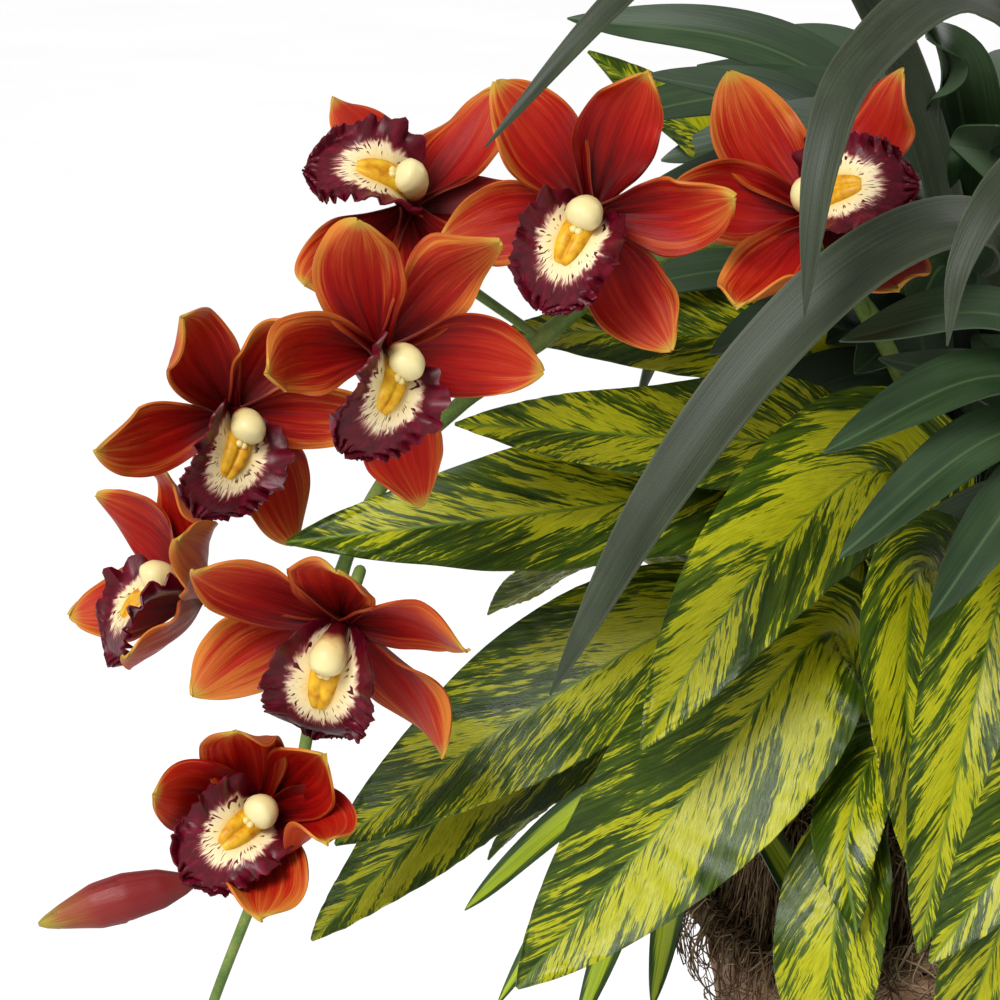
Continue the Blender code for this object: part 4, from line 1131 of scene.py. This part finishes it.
def strip_material():
    """Dry bark strips: lengthwise grain, darker bands and a few knots."""
    s = Shader("bark strip")
    up, _, row = s.read("grain")
    x, y, _ = s.split(s.here())
    grain = s.noise((x * 30 + row * 7.3, y * 30, up * 700), 4, 0.6)
    tone = s.noise((x * 14 + row * 5.1, y * 14, up * 30))
    colour = s.ramp(grain * 0.5 + tone * 0.5,
                    (0.32, 0.14, 0.066, 0.035), (0.5, 0.28, 0.15, 0.085), (0.66, 0.4, 0.25, 0.155))
    knots = s.cells((x * 38 + row * 3, y * 38, up * 60))
    ring = s.step(knots, 0.17, 0.07) * s.step(tone, 0.46, 0.56)
    colour = s.mix(ring * 0.85, colour, (0.06, 0.022, 0.014))
    s.bump(grain + ring * -1.5, 0.6, 0.0008)
    return s.finish(colour, grain * 0.25 + 0.58)


def braid_material():
    """Twisted plant fibre: fine lines that wind round each strand."""
    s = Shader("braided fibre")
    around, run, strand = s.read("grain")
    wind = s.math("SINE", around * math.tau + run * 520)
    twist = s.noise((wind * 2.6, run * 60, strand * 9), 3, 0.6)
    hair = s.noise((around * 18 + run * 1600, run * 40, strand))
    colour = s.ramp(twist * 0.45 + hair * 0.55,
                    (0.3, 0.06, 0.036, 0.019), (0.5, 0.17, 0.115, 0.066), (0.7, 0.34, 0.25, 0.155))
    s.bump(hair + twist, 0.8, 0.0009)
    return s.finish(colour, 0.85, 0.15)


def grainy_material(name, grain, bump, looks, *stops, stretch=None):
    """One noise that sets colour and relief. grain: scale, detail, roughness. looks: roughness, specular."""
    s = Shader(name)
    scale, detail, rough = grain
    at = s.here()
    if stretch:
        at = tuple(axis * share for axis, share in zip(s.split(at), stretch))
    value = s.noise(at, detail, rough, scale)
    if bump:
        s.bump(value, *bump)
    return s.finish(s.ramp(value, *stops), *looks)


# ---- Stage ----

def floor():
    corners = [(x * FLOOR_HALF, y * FLOOR_HALF, 0) for x, y in ((-1, -1), (1, -1), (1, 1), (-1, 1))]
    piece = add_mesh("floor", corners, [[0, 1, 2, 3]])
    white = grainy_material("floor", (3.0, 2.0, 0.5), None, (0.8,),
                            (0.3, 0.93, 0.93, 0.93), (0.7, 0.955, 0.955, 0.955))
    piece.data.materials.append(white)


def point_at(thing, place, aim):
    thing.location = place
    thing.rotation_euler = (Vector(aim) - Vector(place)).to_track_quat("-Z", "Y").to_euler()


def area_light(name, place, aim, size, power):
    data = bpy.data.lights.new(name, "AREA")
    data.shape = "DISK"
    data.size = size
    data.energy = power
    point_at(linked(name, data), place, aim)


def lights():
    sun = bpy.data.lights.new("window", "SUN")
    sun.energy = KEY_LIGHT
    sun.angle = math.radians(26)
    point_at(linked("window", sun), (-1.5, -2.6, 2.6), (0, 0, 0))
    centre = (-0.12, 0.0, 0.3)
    area_light("softbox", (-0.9, -2.2, 1.3), centre, 0.7, SOFTBOX_WATTS)
    area_light("edge", (1.5, 0.6, 1.3), centre, 0.9, EDGE_WATTS)
    world = bpy.data.worlds.new("studio")
    world.use_nodes = True
    sky = world.node_tree.nodes["Background"].inputs
    sky[0].default_value = (1.0, 1.0, 1.0, 1.0)
    sky[1].default_value = SKY
    bpy.context.scene.world = world


def camera():
    tilt = math.radians(CAMERA_TILT)
    data = bpy.data.cameras.new("camera")
    data.sensor_width = SENSOR
    data.lens = SENSOR * CAMERA_DISTANCE / VIEW_WIDTH
    made = linked("camera", data)
    back = np.array((0, math.cos(tilt), -math.sin(tilt)))
    made.location = above_crown(CAMERA_TARGET) - CAMERA_DISTANCE * back
    made.rotation_euler = (math.pi / 2 - tilt, 0, 0)
    bpy.context.scene.camera = made


STRIPED = striped_material()
STRAP = strap_material()
LANCE = lance_material()
LIME = lime_material()
PETAL = petal_material()
LIP = lip_material()
CALLUS = grainy_material("lip callus", (260.0, 2.0, 0.5), (0.15, 0.0003), (0.4, 0.25),
                         (0.3, 0.44, 0.16, 0.004), (0.48, 0.6, 0.29, 0.008), (0.7, 0.68, 0.42, 0.02))
COLUMN = column_material()
ANTHER = grainy_material("anther cap", (700.0, 3.0, 0.5), (0.3, 0.0003), (0.32, 0.3),
                         (0.3, 0.66, 0.5, 0.16), (0.7, 0.78, 0.66, 0.3))
BUD = bud_material()
STEM = stem_material()
MOSS_BED = grainy_material("moss bed", (220.0, 4.0, 0.65), (1.0, 0.004), (0.95, 0.15),
                           (0.35, 0.012, 0.008, 0.004), (0.58, 0.05, 0.034, 0.018), (0.75, 0.11, 0.08, 0.045))
FIBRE = fibre_material()
STRIP = strip_material()
STAKE = grainy_material("bark stake", (350.0, 4.0, 0.5), (0.5, 0.0008), (0.75,),
                        (0.3, 0.12, 0.06, 0.03), (0.7, 0.34, 0.2, 0.11))
# painted shade: the near-black skin seen through the gaps of the weave
SHADE_LINING = grainy_material("painted shade lining", (160.0, 3.0, 0.5), (0.4, 0.001), (0.9,),
                         (0.3, 0.02, 0.012, 0.007), (0.7, 0.06, 0.036, 0.02))
BRAID = braid_material()
BOARD = grainy_material("base board", (1.0, 4.0, 0.6), (0.5, 0.0006), (0.7,), (0.3, 0.13, 0.07, 0.035),
                        (0.7, 0.34, 0.21, 0.12), stretch=(30.0, 420.0, 60.0))
FOAM = grainy_material("floral foam", (900.0, 3.0, 0.5), (0.8, 0.0008), (0.95, 0.15),
                       (0.35, 0.02, 0.05, 0.02), (0.65, 0.07, 0.14, 0.06))

camera()
lights()
floor()
foliage()
spray("left", SPRAY_LEFT, FLOWERS_LEFT, BUD_LEFT, LEFT_SEED)
spray("right", SPRAY_RIGHT, FLOWERS_RIGHT, BUD_RIGHT, RIGHT_SEED)
woven_wall()
braided_rim()
moss()
for node_name, node_material in (("basket_base", BOARD), ("floral_foam", FOAM)):
    node_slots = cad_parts[node_name].data.materials
    node_slots.clear()
    node_slots.append(node_material)
bpy.context.scene.view_settings.view_transform = "Standard"
